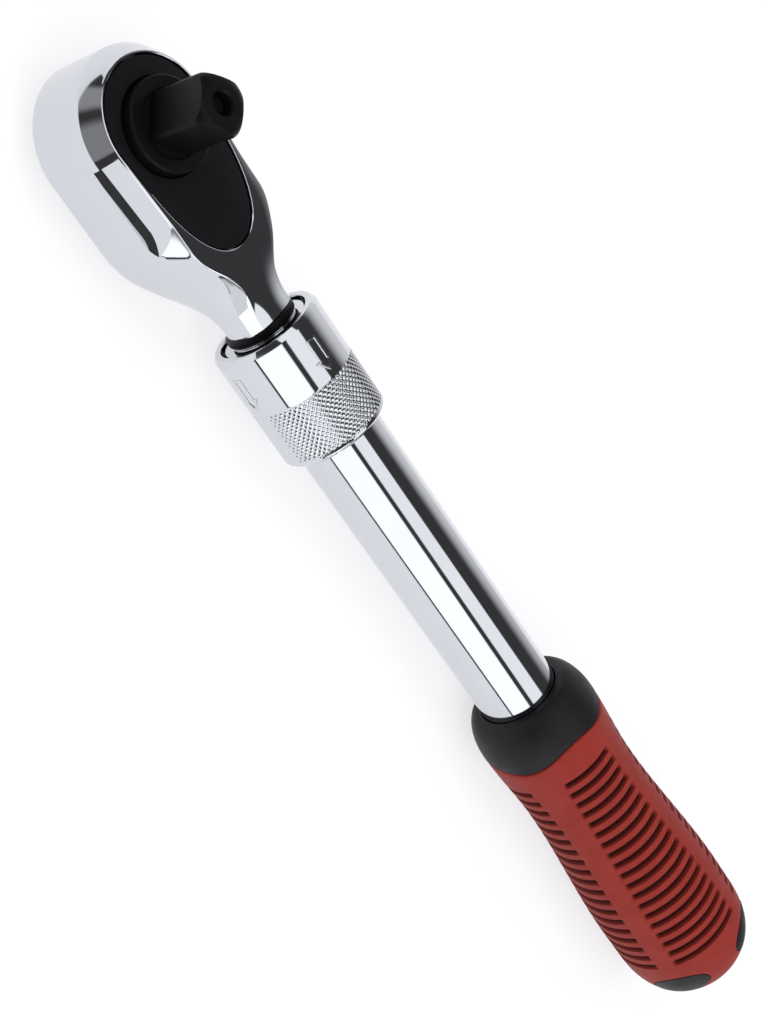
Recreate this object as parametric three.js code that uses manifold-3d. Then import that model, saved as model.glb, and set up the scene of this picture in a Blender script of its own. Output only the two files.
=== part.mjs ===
// Extendable ratchet with a square drive: a pear head on a grooved bar that slides in a tubular handle.
// Lengths are millimetres. X runs along the handle from the head to the grip, and Z along the drive.
import * as THREE from "three";
import { mergeVertices } from "three/addons/utils/BufferGeometryUtils.js";
import Module from "manifold-3d";

const wasm = await Module();
wasm.setup();

// Clearances
const SEAT_GAP = 0.3; // between a fixed piece and its seat
const SLIDE_GAP = 0.3; // between a moving piece and what guides it
const MESH_GAP = 0.12; // between the flanks of the pawl and the gear
const CUT_OVERRUN = 1; // how far a cutter reaches past the surface that it opens

// Facets round a circle
const FINE_FACETS = 32;
const GRIP_FACETS = 28;
const BAR_FACETS = 20;
const FACETS = 24;
const SMALL_FACETS = 12;

// Square drive and hub
const SQUARE = 12.7;
const SQUARE_CORNER_RADIUS = 1.15;
const SQUARE_LENGTH = 19.6;
const SQUARE_END_ROUND = 3.2; // length of the turned, rounded end
const SQUARE_END_INSET = 3.6; // how far the turning takes the corners in at the end
const SQUARE_TURN = 40.4; // degrees about the drive axis, as it stands in the photograph
const HUB_STEP = 1.9; // hub's wall inside the tips of the gear's teeth
const HUB_RISE = 3; // hub shoulder above the head's rim
const HUB_CHAMFER = 0.6;
const JOURNAL_STEP = 3.2; // gear's lower bearing inside the hub's wall
const JOURNAL_LENGTH = 4;

// Head forging
const HEAD_WIDTH = 40.8;
const HEAD_THICKNESS = 26.2;
const HEAD_FRONT_SHIFT = 2.2; // centre of the round front, ahead of the drive axis
const HEAD_SIDE_LENGTH = 19; // drive axis to where the sides start to sweep in
const FACET_INSET = 3.2; // side wall to the outer edge of the rim
const FACET_DROP = 7.6; // height of the sloping facet below the rim
const FACET_ROUND = 1.5;
const BACK_ROUND = 3.2; // rounded lower edge of the side wall
const RIM_WIDTH = 1.1;
const BACK_WALL = 2.2; // head's back behind the gear's journal
const NECK_DIAMETER = 18.6;
const NECK_SWEEP = 17.4; // rim's rear end to the round neck
const NECK_LENGTH = 2.8;
const BEAD_DIAMETER = 20.6;
const BEAD_WIDTH = 1.8;

// Cover plate
const COVER_THICKNESS = 2;
const COVER_SINK = 0.2; // plate's top below the rim
const COVER_LEDGE = 1.7; // seat of the plate round the gear pocket
const COVER_REAR_LEDGE = 1.5;
const COVER_TAPER = 6; // degrees by which each side of the plate runs in to the rear
const COVER_REAR_ROUND = 22.8; // length of the rounded rear end
const COVER_SIDE_PULL = 0.53; // pull of the sides on the rounded rear, as a share of its length
const COVER_END_PULL = 0.395; // pull of the rear's tip, as a share of its length

// Gear and pawl
const GEAR_TEETH = 36;
const TOOTH_DEPTH = 1.2;
const TOOTH_LAND = 0.2; // flat of a tooth's tip and root, as a share of the pitch
const PAWL_ARM_ANGLE = 44; // degrees to each side of the pin
const PAWL_BAND = 3.8; // thickness of the pawl's arms
const PAWL_ROCK = 4.5; // degrees of swing to each side
const PAWL_EYE_DIAMETER = 8.6;
const PAWL_PIN_DIAMETER = 3.6;
const PAWL_PIN_SEAT = 2.2; // depth of the pin in the pocket floor
const PAWL_TAIL = 4.4; // pin axis to the flat that the plunger presses
const PAWL_TAIL_WIDTH = 5.2;

// Reversing lever on the back
const LEVER_SWING = 40; // degrees from one driving direction to the other
const LEVER_STEM_DIAMETER = 6.4;
const LEVER_DISC_DIAMETER = 16;
const LEVER_THICKNESS = 3.4;
const LEVER_REACH = 12.5; // stem axis to the centre of the thumb end
const LEVER_THUMB_DIAMETER = 9.6;
const LEVER_RIDGES = 3;
const LEVER_RIDGE_HEIGHT = 1.2;
const LEVER_RIDGE_WIDTH = 1.3;
const LEVER_RIDGE_PITCH = 2.6;
const LEVER_CLIP_THICKNESS = 0.8;
const LEVER_CLIP_WIDTH = 1.8;
const LEVER_CLIP_SEAT = 0.8; // depth of the clip's groove in the stem
const PLUNGER_DIAMETER = 2;
const PLUNGER_LENGTH = 3;
const PLUNGER_SPRING_LENGTH = 2.6;
const PLUNGER_SPRING_WIRE = 0.3;
const PLUNGER_SPRING_CURLS = 3;

// Quick release
const RELEASE_PIN_DIAMETER = 5.2;
const RELEASE_NECK_DIAMETER = 3.1;
const RELEASE_NECK_LENGTH = 1.5;
const RELEASE_NECK_CONE = 1.55; // length of the cone at each end of the neck
const RELEASE_BUTTON_DIAMETER = 10.4;
const RELEASE_BUTTON_RISE = 1.4; // button proud of the head's back
const RELEASE_BUTTON_ROUND = 0.8;
const RELEASE_TRAVEL = 2.5;
const RELEASE_RECESS = 2.8; // pin's end below the end of the square
const RELEASE_SPRING_LENGTH = 9;
const RELEASE_SPRING_WIRE = 0.8;
const RELEASE_SPRING_CURLS = 4;
const DETENT_DIAMETER = 4.4;
const DETENT_STAND = 1; // ball proud of the square's flat
const DETENT_HEIGHT = 9.8; // shoulder to the ball

// Bar that slides in the handle
const BAR_DIAMETER = 16;
const BAR_FLAT_WIDTH = 14.4; // across the two flats that stop the head from turning
const LOCK_PITCH = 23;
const LOCK_STEPS = 6;
const LOCK_GROOVE_DEPTH = 1.2;
const LOCK_GROOVE_FLOOR = 1.8;
const LOCK_GROOVE_TOP = 4.8;
const LOCK_BALL_DIAMETER = 4.2;
const STOP_LENGTH = 10;
const STOP_JOURNAL_DIAMETER = 12;
const STOP_CLIP_THICKNESS = 1;
const STOP_CLIP_WIDTH = 3;
const STOP_CLIP_SEAT = 0.8; // depth of the clip's groove in the bar
const BAR_TIP = 1.6; // bar behind the stop's clip

// Handle tube and front bush
const TUBE_DIAMETER = 25;
const TUBE_WALL = 2;
const TUBE_SHOWN = 103.6; // collar to grip
const BUSH_DIAMETER = 22.4;
const BUSH_FRONT_LENGTH = 25; // part ahead of the tube
const BUSH_REAR_LENGTH = 11; // part inside the tube
const BUSH_FLANGE_DIAMETER = 24.8; // disc that shows in the collar's mouth
const BUSH_STEP_DIAMETER = 19.4;
const BUSH_STEP = 0.5; // raised face round the bar

// Lock collar, its ring and spring
const COLLAR_DIAMETER = 32.1;
const COLLAR_LENGTH = 36;
const COLLAR_OVERHANG = 0.8; // collar ahead of the bush's face
const COLLAR_MOUTH_DIAMETER = 26.6;
const COLLAR_CHAMFER = 3;
const COLLAR_CHAMFER_DEPTH = 1.5;
const COLLAR_REAR_CHAMFER = 0.8;
const COLLAR_LAND = 9.6; // length of the land that holds the balls in
const COLLAR_RAMP = 2.6; // length of the cone that lets the balls rise
const COLLAR_RAMP_RISE = 0.9;
const RING_WIDTH = 1.2;
const RING_SEAT = 0.8; // depth of the ring's groove in the bush
const RING_SETBACK = 1.6; // bush face to ring
const CLIP_OPENING = 44; // degrees missing from an open ring
const COLLAR_SPRING_WIRE = 0.9;
const COLLAR_SPRING_CURLS = 4;

// Grip
const GRIP_LENGTH = 128.8;
const GRIP_END_SOLID = 28.8; // solid end of the grip behind the tube
const GRIP_MOUTH_DIAMETER = 28.4;
const GRIP_FRONT_DIAMETER = 39.2;
const GRIP_WAIST_DIAMETER = 37;
const GRIP_SWELL_DIAMETER = 43.4;
const GRIP_FRONT_AT = 12.5; // mouth to the front bulge
const GRIP_WAIST_AT = 38;
const GRIP_SWELL_LENGTH = 10; // widest part, ahead of the rounded rear
const GRIP_ROUND_LENGTH = 23.8; // rounded rear
const GRIP_FULLNESS = 2.5; // 2 rounds the rear as an ellipse, more makes it squarer
const GRIP_DOME = 5; // core's rounded end behind the sleeve
const GRIP_TURN = 20; // degrees about the handle, as the grip is pressed on in the photograph
const SLEEVE_START = 14.8; // mouth to the sleeve's front edge
const CORE_DIAMETER = 31.8;
const CORE_TAPER_LENGTH = 16.8; // tapered rear of the core
const TAIL_WALL = 2.6; // sleeve's wall at its rear edge
const PANELS = 4;
const GROOVE_PITCH = 4.38;
const GROOVE_WIDTH = 1.9;
const GROOVE_DEPTH = 1.6;
const GROOVE_START = 24.8; // mouth to the first groove
const GROOVE_FRONT_ANGLE = 27; // degrees to each side of the panel's middle, first groove
const GROOVE_REAR_ANGLE = 35; // degrees to each side of the panel's middle, last groove
const WINDOW_WIDTH = 19; // windows in the sleeve that show the core
const WINDOW_HEIGHT = 12;
const WINDOW_FROM_END = 13.3; // middle of a window to the grip's end
const WINDOW_TILT = 22; // degrees that a window leans to the rear

// Radii and heights in the head
const HEAD_HALF_WIDTH = HEAD_WIDTH / 2;
const HEAD_TOP = HEAD_THICKNESS / 2;
const HEAD_BACK = -HEAD_THICKNESS / 2;
const RIM_HALF_WIDTH = HEAD_HALF_WIDTH - FACET_INSET;
const RECESS_HALF_WIDTH = RIM_HALF_WIDTH - RIM_WIDTH;
const GEAR_POCKET_RADIUS = RECESS_HALF_WIDTH - COVER_LEDGE;
const GEAR_RADIUS = GEAR_POCKET_RADIUS - SLIDE_GAP;
const HUB_RADIUS = GEAR_RADIUS - HUB_STEP;
const GEAR_JOURNAL_RADIUS = HUB_RADIUS - JOURNAL_STEP;
const COVER_TOP = HEAD_TOP - COVER_SINK;
const COVER_BOTTOM = COVER_TOP - COVER_THICKNESS;
const LEDGE = COVER_BOTTOM - SEAT_GAP;
const GEAR_TOP = COVER_BOTTOM - SLIDE_GAP;
const JOURNAL_BOTTOM = HEAD_BACK + BACK_WALL + SLIDE_GAP;
const GEAR_BOTTOM = JOURNAL_BOTTOM + JOURNAL_LENGTH;
const POCKET_FLOOR = GEAR_BOTTOM - SLIDE_GAP;
const SHOULDER = HEAD_TOP + HUB_RISE;
const SQUARE_END = SHOULDER + SQUARE_LENGTH;
const STEM_RADIUS = LEVER_STEM_DIAMETER / 2;
const LEVER_CLIP_INNER = STEM_RADIUS - LEVER_CLIP_SEAT + SEAT_GAP;
const LEVER_CLIP_OUTER = LEVER_CLIP_INNER + LEVER_CLIP_WIDTH;
const LEVER_CLIP_BOTTOM = POCKET_FLOOR + SLIDE_GAP;
const LEVER_CLIP_TOP = LEVER_CLIP_BOTTOM + LEVER_CLIP_THICKNESS;
const PLUNGER_RADIUS = PLUNGER_DIAMETER / 2;
const PLUNGER_HEIGHT = (LEVER_CLIP_TOP + LEDGE) / 2;

// Places along the handle, head first
const PAWL_X = GEAR_RADIUS + SLIDE_GAP + TOOTH_DEPTH + PAWL_EYE_DIAMETER / 2;
const PLUNGER_TIP = STEM_RADIUS + PLUNGER_RADIUS - SLIDE_GAP; // stem axis to the plunger's end
const LEVER_X = PAWL_X + PAWL_TAIL + SLIDE_GAP + PLUNGER_TIP;
const LEVER_ROOM = LEVER_CLIP_OUTER + SLIDE_GAP;
const RECESS_REAR = LEVER_X + LEVER_ROOM + COVER_REAR_LEDGE;
const RIM_REAR = RECESS_REAR + 2 * RIM_WIDTH;
const NECK_X = RIM_REAR + NECK_SWEEP;
const BEAD_X = NECK_X + NECK_LENGTH;
const BUSH_X = BEAD_X + BEAD_WIDTH + SLIDE_GAP + BUSH_STEP;
const COLLAR_X = BUSH_X - COLLAR_OVERHANG;
const RING_X = BUSH_X + RING_SETBACK;
const LAND_X = RING_X + RING_WIDTH + SLIDE_GAP;
const LAND_END = LAND_X + COLLAR_LAND;
const BALL_X = LAND_X + COLLAR_RAMP + SLIDE_GAP;
const TUBE_X = BUSH_X + BUSH_FRONT_LENGTH;
const BUSH_END = TUBE_X + BUSH_REAR_LENGTH;
const COLLAR_END = COLLAR_X + COLLAR_LENGTH;
const GRIP_X = COLLAR_END + TUBE_SHOWN;
const GRIP_END = GRIP_X + GRIP_LENGTH;
const TUBE_END = GRIP_END - GRIP_END_SOLID;
const EXTENSION = LOCK_PITCH * LOCK_STEPS;
const STOP_X = BUSH_END + EXTENSION + SLIDE_GAP;
const STOP_CLIP_X = STOP_X + STOP_LENGTH + SEAT_GAP;
const STOP_CLIP_END = STOP_CLIP_X + STOP_CLIP_THICKNESS;
const BAR_END = STOP_CLIP_END + SEAT_GAP + BAR_TIP;

// Places along the grip, from its mouth
const GRIP_ROUND_AT = GRIP_LENGTH - GRIP_ROUND_LENGTH;
const GRIP_SWELL_AT = GRIP_ROUND_AT - GRIP_SWELL_LENGTH;
const CORE_TAPER_AT = GRIP_LENGTH - CORE_TAPER_LENGTH;
const WINDOW_AT = GRIP_LENGTH - WINDOW_FROM_END;
const GROOVES = 1 + Math.floor((GRIP_ROUND_AT - GROOVE_START) / GROOVE_PITCH);

// Radii in the bar, the lock and the handle
const NECK_RADIUS = NECK_DIAMETER / 2;
const BAR_RADIUS = BAR_DIAMETER / 2;
const LOCK_BALL_RADIUS = LOCK_BALL_DIAMETER / 2;
const LOCK_BALL_OUT = BAR_RADIUS - LOCK_GROOVE_DEPTH + MESH_GAP + LOCK_BALL_RADIUS;
const JOURNAL_RADIUS = STOP_JOURNAL_DIAMETER / 2;
const BUSH_RADIUS = BUSH_DIAMETER / 2;
const LAND_RADIUS = BUSH_RADIUS + SLIDE_GAP;
const MOUTH_RADIUS = COLLAR_MOUTH_DIAMETER / 2;
const TUBE_RADIUS = TUBE_DIAMETER / 2;
const TUBE_BORE = TUBE_RADIUS - TUBE_WALL;
const SKIRT_RADIUS = TUBE_RADIUS + SLIDE_GAP;
const SWELL_RADIUS = GRIP_SWELL_DIAMETER / 2;
const CORE_RADIUS = CORE_DIAMETER / 2;

// Places in the quick release, along and from the drive axis
const PIN_RADIUS = RELEASE_PIN_DIAMETER / 2;
const BUTTON_RADIUS = RELEASE_BUTTON_DIAMETER / 2;
const SPRING_BOTTOM = JOURNAL_BOTTOM + SEAT_GAP;
const SPRING_TOP = SPRING_BOTTOM + RELEASE_SPRING_LENGTH;
const DETENT_RADIUS = DETENT_DIAMETER / 2;
const DETENT_Z = SHOULDER + DETENT_HEIGHT;
const DETENT_OUT = SQUARE / 2 + DETENT_STAND - DETENT_RADIUS;

// Finishes, with the colours seen in the photograph
const CHROME = { color: 0xd9dce1, metalness: 1, roughness: 0.12 };
const STEEL = { color: 0xa9acb0, metalness: 1, roughness: 0.35 };
const BLACK_STEEL = { color: 0x1c1c1f, metalness: 0.6, roughness: 0.45 };
const BLACK_PLASTIC = { color: 0x232226, metalness: 0, roughness: 0.55 };
const RED_RUBBER = { color: 0x96281f, metalness: 0, roughness: 0.75 };

// A closed geometry as a solid with its faces turned outwards.
function solidOf(geometry) {
  const bare = geometry.clone();
  bare.deleteAttribute("normal");
  bare.deleteAttribute("uv");
  const merged = mergeVertices(bare, 1e-4);
  const points = merged.attributes.position.array;
  const corners = merged.index.array;
  const kept = [];
  let volume = 0;
  for (let i = 0; i < corners.length; i += 3) {
    const [a, b, c] = corners.slice(i, i + 3);
    if (a === b || b === c || c === a) continue;
    kept.push(a, b, c);
    const [p, q, r] = [a, b, c].map((k) => new THREE.Vector3().fromArray(points, 3 * k));
    volume += p.dot(q.cross(r));
  }
  if (volume < 0) kept.reverse();
  const triVerts = Uint32Array.from(kept);
  return new wasm.Manifold(new wasm.Mesh({ numProp: 3, vertProperties: points, triVerts }));
}

// A solid's surface as a geometry with flat facets.
function geometryOf(solid) {
  const { numProp, vertProperties, triVerts } = solid.getMesh();
  const positions = new Float32Array(3 * triVerts.length);
  triVerts.forEach((vertex, i) => {
    positions.set(vertProperties.subarray(vertex * numProp, vertex * numProp + 3), 3 * i);
  });
  const geometry = new THREE.BufferGeometry();
  geometry.setAttribute("position", new THREE.BufferAttribute(positions, 3));
  geometry.computeVertexNormals();
  return geometry;
}

function union(solids) {
  return solids.reduce((whole, next) => whole.add(next));
}

// Turns a closed outline of [along, radius] pairs about the Y axis.
function revolve(outline, facets) {
  const closed = [...outline, outline[0]];
  return new THREE.LatheGeometry(closed.map(([along, radius]) => new THREE.Vector2(radius, along)), facets);
}

function revolveX(outline, facets = FINE_FACETS) {
  return solidOf(revolve(outline, facets).rotateZ(-Math.PI / 2));
}

function revolveZ(outline, facets = FACETS) {
  return solidOf(revolve(outline, facets).rotateX(Math.PI / 2));
}

function cylinderX(radius, low, high, facets = FACETS) {
  return revolveX([[low, 0], [low, radius], [high, radius], [high, 0]], facets);
}

function cylinderZ(radius, low, high, facets = FACETS) {
  return revolveZ([[low, 0], [low, radius], [high, radius], [high, 0]], facets);
}

function ringX(inner, outer, low, high, facets = FINE_FACETS) {
  return revolveX([[low, inner], [low, outer], [high, outer], [high, inner]], facets);
}

function ball(radius, centre) {
  return solidOf(new THREE.SphereGeometry(radius, SMALL_FACETS, SMALL_FACETS / 2)).translate(centre);
}

// A box that is symmetrical to the plane of the handle and the drive.
function block(lowX, highX, halfWidth, low, high) {
  const geometry = new THREE.BoxGeometry(highX - lowX, 2 * halfWidth, high - low);
  return solidOf(geometry.translate((lowX + highX) / 2, 0, (low + high) / 2));
}

// Raises a plan outline from one height to another.
function prismZ(shape, low, high, curveSegments = SMALL_FACETS) {
  const depth = high - low;
  const geometry = new THREE.ExtrudeGeometry(shape, { depth, bevelEnabled: false, curveSegments });
  return solidOf(geometry.translate(0, 0, low));
}

// Extends an outline drawn across the handle, first Y then Z, from one place to another.
function prismX(shape, low, high, curveSegments) {
  const depth = high - low;
  const geometry = new THREE.ExtrudeGeometry(shape, { depth, bevelEnabled: false, curveSegments });
  return solidOf(geometry.rotateX(Math.PI / 2).rotateZ(Math.PI / 2).translate(low, 0, 0));
}

// Joins rings of equally many points by a skin, with a flat fan over each end.
function loft(rings) {
  const count = rings[0].length;
  const points = rings.flat();
  const triangles = [];
  for (let ring = 0; ring + 1 < rings.length; ring++) {
    for (let k = 0; k < count; k++) {
      const here = ring * count + k;
      const beside = ring * count + ((k + 1) % count);
      triangles.push(here, beside, here + count, beside, beside + count, here + count);
    }
  }
  const closeEnd = (start, turned) => {
    const centre = new THREE.Vector3();
    for (let k = 0; k < count; k++) centre.addScaledVector(points[start + k], 1 / count);
    points.push(centre);
    for (let k = 0; k < count; k++) {
      const edge = [start + k, start + ((k + 1) % count)];
      triangles.push(...(turned ? edge.reverse() : edge), points.length - 1);
    }
  };
  closeEnd(0, true);
  closeEnd((rings.length - 1) * count, false);
  const geometry = new THREE.BufferGeometry().setFromPoints(points);
  geometry.setIndex(triangles);
  return solidOf(geometry);
}

// A coil spring that stands on z = 0 about the Z axis. Prints the least gap between its curls.
function coilSpring(name, { meanRadius, wire, curls, length, steps }) {
  const sides = 5;
  const total = curls * steps;
  const rings = [];
  const middles = [];
  for (let i = 0; i <= total; i++) {
    const turn = (i / steps) * 2 * Math.PI;
    const out = new THREE.Vector3(Math.cos(turn), Math.sin(turn), 0);
    const height = wire / 2 + ((length - wire) * i) / total;
    const middle = out.clone().multiplyScalar(meanRadius).setZ(height);
    const ring = [];
    for (let k = 0; k < sides; k++) {
      const angle = (k / sides) * 2 * Math.PI;
      const point = middle.clone().addScaledVector(out, (wire / 2) * Math.cos(angle));
      ring.push(point.setZ(height + (wire / 2) * Math.sin(angle)));
    }
    rings.push(ring);
    middles.push(middle);
  }
  let least = Infinity;
  middles.forEach((middle, i) => {
    const gaps = middles.slice(i + steps / 2).map((other) => middle.distanceTo(other) - wire);
    least = Math.min(least, ...gaps);
  });
  console.log(`${name}: least gap between curls ${least.toFixed(2)} mm`);
  return loft(rings);
}

// An open ring: a full ring about the X axis, less a wedge that points up.
function openRing(inner, outer, low, high) {
  const reach = 2 * outer;
  const half = reach * Math.tan(THREE.MathUtils.degToRad(CLIP_OPENING / 2));
  const corners = [[0, 0], [half, reach], [-half, reach]];
  const wedge = new THREE.Shape(corners.map(([y, z]) => new THREE.Vector2(y, z)));
  const cut = prismX(wedge, low - CUT_OVERRUN, high + CUT_OVERRUN);
  return ringX(inner, outer, low, high, FACETS).subtract(cut);
}

// Goes from 0 to 1 with a level start and end.
function ease(value) {
  return THREE.MathUtils.smoothstep(value, 0, 1);
}

// Right half of the head's section, [y, z] from the middle of the rim's plane to the middle of the back.
function headHalfSection() {
  const flatSteps = 3;
  const roundSteps = 4;
  const backEdge = HEAD_HALF_WIDTH - BACK_ROUND;
  const facetEnd = HEAD_TOP - FACET_DROP;
  const points = [];
  for (let i = 0; i <= flatSteps; i++) points.push([(RIM_HALF_WIDTH * i) / flatSteps, HEAD_TOP]);
  points.push([HEAD_HALF_WIDTH - FACET_ROUND / 4, facetEnd], [HEAD_HALF_WIDTH, facetEnd - FACET_ROUND]);
  for (let i = 0; i <= roundSteps; i++) {
    const angle = (i / roundSteps) * (Math.PI / 2);
    points.push([backEdge + BACK_ROUND * Math.cos(angle), HEAD_BACK + BACK_ROUND * (1 - Math.sin(angle))]);
  }
  for (let i = flatSteps - 1; i >= 0; i--) points.push([(backEdge * i) / flatSteps, HEAD_BACK]);
  return points;
}

function headSection() {
  const half = headHalfSection();
  const mirrored = half.slice(1, -1).reverse();
  return [...half, ...mirrored.map(([y, z]) => [-y, z])];
}

// Sections that sweep from the head's sides into the round neck.
function neckLoft() {
  const steps = 9;
  const section = headSection();
  const sweep = NECK_X - HEAD_SIDE_LENGTH;
  const plan = new THREE.CubicBezierCurve(
    new THREE.Vector2(HEAD_SIDE_LENGTH, HEAD_HALF_WIDTH),
    new THREE.Vector2(HEAD_SIDE_LENGTH + sweep / 3, HEAD_HALF_WIDTH),
    new THREE.Vector2(NECK_X - sweep / 3, NECK_RADIUS),
    new THREE.Vector2(NECK_X, NECK_RADIUS),
  );
  const ringAt = ({ x, y: halfWidth }) => {
    const fall = ease((x - RIM_REAR) / NECK_SWEEP);
    const halfHeight = THREE.MathUtils.lerp(HEAD_TOP, NECK_RADIUS, fall);
    const roundness = ease((x - LEVER_X) / (NECK_X - LEVER_X));
    return section.map(([y, z]) => {
      const across = y / HEAD_HALF_WIDTH;
      const up = z / HEAD_TOP;
      const stretch = THREE.MathUtils.lerp(1, 1 / Math.hypot(across, up), roundness);
      return new THREE.Vector3(x, across * stretch * halfWidth, up * stretch * halfHeight);
    });
  };
  return loft(plan.getPoints(steps).map(ringAt));
}

function neckBead() {
  const radius = BEAD_DIAMETER / 2;
  const round = BEAD_WIDTH / 3;
  const end = BEAD_X + BEAD_WIDTH;
  return revolveX([
    [NECK_X - SEAT_GAP, 0],
    [NECK_X - SEAT_GAP, NECK_RADIUS],
    [BEAD_X, NECK_RADIUS],
    [BEAD_X, radius - round],
    [BEAD_X + round, radius],
    [end - round, radius],
    [end, radius - round],
    [end, 0],
  ]);
}

// Bar behind the neck: flats against turning, grooves for the balls, and a journal for its stop.
function bar() {
  const floor = BAR_RADIUS - LOCK_GROOVE_DEPTH;
  const clipFloor = JOURNAL_RADIUS - STOP_CLIP_SEAT;
  const outline = [[BEAD_X, 0], [BEAD_X, BAR_RADIUS]];
  for (let step = 0; step <= LOCK_STEPS; step++) {
    const x = BALL_X + step * LOCK_PITCH;
    outline.push([x - LOCK_GROOVE_TOP / 2, BAR_RADIUS], [x - LOCK_GROOVE_FLOOR / 2, floor]);
    outline.push([x + LOCK_GROOVE_FLOOR / 2, floor], [x + LOCK_GROOVE_TOP / 2, BAR_RADIUS]);
  }
  outline.push([STOP_X - SEAT_GAP, BAR_RADIUS], [STOP_X - SEAT_GAP, JOURNAL_RADIUS]);
  outline.push([STOP_CLIP_X - SEAT_GAP, JOURNAL_RADIUS], [STOP_CLIP_X - SEAT_GAP, clipFloor]);
  outline.push([STOP_CLIP_END + SEAT_GAP, clipFloor], [STOP_CLIP_END + SEAT_GAP, JOURNAL_RADIUS]);
  outline.push([BAR_END, JOURNAL_RADIUS], [BAR_END, 0]);
  const flats = block(NECK_X, BAR_END, BAR_FLAT_WIDTH / 2, -BAR_RADIUS, BAR_RADIUS);
  return revolveX(outline, BAR_FACETS).intersect(flats);
}

// Plan outline of the recess, grown by a margin: round front, converging sides, smaller round rear.
function recessShape(margin = 0) {
  const halfWidth = RECESS_HALF_WIDTH + margin;
  const taper = THREE.MathUtils.degToRad(COVER_TAPER);
  const fall = Math.tan(taper);
  const bendX = RECESS_REAR - COVER_REAR_ROUND;
  const bendY = halfWidth / Math.cos(taper) - (bendX + HEAD_FRONT_SHIFT) * fall;
  const rear = RECESS_REAR + margin;
  const pull = COVER_SIDE_PULL * COVER_REAR_ROUND;
  const pullX = bendX + pull;
  const pullY = bendY - pull * fall;
  const tip = COVER_END_PULL * COVER_REAR_ROUND + margin;
  const shape = new THREE.Shape();
  shape.absarc(-HEAD_FRONT_SHIFT, 0, halfWidth, Math.PI / 2 - taper, 1.5 * Math.PI + taper);
  shape.lineTo(bendX, -bendY);
  shape.bezierCurveTo(pullX, -pullY, rear, -tip, rear, 0);
  shape.bezierCurveTo(rear, tip, pullX, pullY, bendX, bendY);
  shape.closePath();
  return shape;
}

// Everything cut out of the head: recess for the plate, pockets for gear, pawl and lever, and bores.
function headPocket() {
  const above = HEAD_TOP + CUT_OVERRUN;
  const below = HEAD_BACK - CUT_OVERRUN;
  const pawlReach = GEAR_RADIUS + TOOTH_DEPTH + PAWL_BAND + SLIDE_GAP;
  const pawlHalfWidth = pawlReach * Math.sin(THREE.MathUtils.degToRad(PAWL_ARM_ANGLE)) + SLIDE_GAP;
  const pawlSwing = cylinderZ(pawlReach, POCKET_FLOOR, above, FINE_FACETS);
  const pinBottom = POCKET_FLOOR - PAWL_PIN_SEAT - SEAT_GAP;
  return union([
    prismZ(recessShape(), LEDGE, above),
    cylinderZ(GEAR_POCKET_RADIUS, POCKET_FLOOR, above, FINE_FACETS),
    block(0, pawlReach, pawlHalfWidth, POCKET_FLOOR, above).intersect(pawlSwing),
    block(0, LEVER_X, PAWL_EYE_DIAMETER / 2 + SLIDE_GAP, POCKET_FLOOR, above),
    cylinderZ(LEVER_ROOM, POCKET_FLOOR, above).translate([LEVER_X, 0, 0]),
    cylinderZ(STEM_RADIUS + SLIDE_GAP, below, above).translate([LEVER_X, 0, 0]),
    cylinderZ(GEAR_JOURNAL_RADIUS + SLIDE_GAP, HEAD_BACK + BACK_WALL, above),
    cylinderZ(BUTTON_RADIUS + SLIDE_GAP, below, above),
    cylinderZ(PAWL_PIN_DIAMETER / 2 + SEAT_GAP, pinBottom, above, SMALL_FACETS).translate([PAWL_X, 0, 0]),
  ]);
}

function headBody() {
  const front = revolveZ(headHalfSection().map(([y, z]) => [z, y]), FINE_FACETS);
  const section = new THREE.Shape(headSection().map(([y, z]) => new THREE.Vector2(y, z)));
  const forging = union([
    front.translate([-HEAD_FRONT_SHIFT, 0, 0]),
    prismX(section, -HEAD_FRONT_SHIFT, HEAD_SIDE_LENGTH),
    neckLoft(),
    neckBead(),
  ]);
  return forging.subtract(headPocket()).add(bar());
}

// Plate that closes the head, open for the hub.
function coverPlate() {
  const opening = cylinderZ(HUB_RADIUS + SLIDE_GAP, LEDGE, HEAD_TOP, FINE_FACETS);
  return prismZ(recessShape(-SEAT_GAP), COVER_BOTTOM, COVER_TOP).subtract(opening);
}

// Toothed outline of the gear, with every edge moved out by a margin.
function gearShape(margin = 0) {
  const pitch = (2 * Math.PI) / GEAR_TEETH;
  const tip = GEAR_RADIUS + margin;
  const root = tip - TOOTH_DEPTH;
  const widen = margin / (GEAR_RADIUS * pitch);
  const tipHalf = TOOTH_LAND / 2 + widen;
  const rootHalf = TOOTH_LAND / 2 - widen;
  const corners = [[tip, -tipHalf], [tip, tipHalf], [root, 0.5 - rootHalf], [root, 0.5 + rootHalf]];
  const points = [];
  for (let tooth = 0; tooth < GEAR_TEETH; tooth++) {
    for (const [radius, along] of corners) {
      const angle = (tooth + along) * pitch;
      points.push(new THREE.Vector2(radius * Math.cos(angle), radius * Math.sin(angle)));
    }
  }
  return new THREE.Shape(points);
}

function squareShape() {
  const shape = new THREE.Shape();
  const out = (SQUARE / 2 - SQUARE_CORNER_RADIUS) * Math.SQRT2;
  for (let corner = 0; corner < 4; corner++) {
    const start = (corner * Math.PI) / 2;
    const middle = start + Math.PI / 4;
    const end = start + Math.PI / 2;
    shape.absarc(out * Math.cos(middle), out * Math.sin(middle), SQUARE_CORNER_RADIUS, start, end);
  }
  shape.closePath();
  return shape;
}

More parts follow.
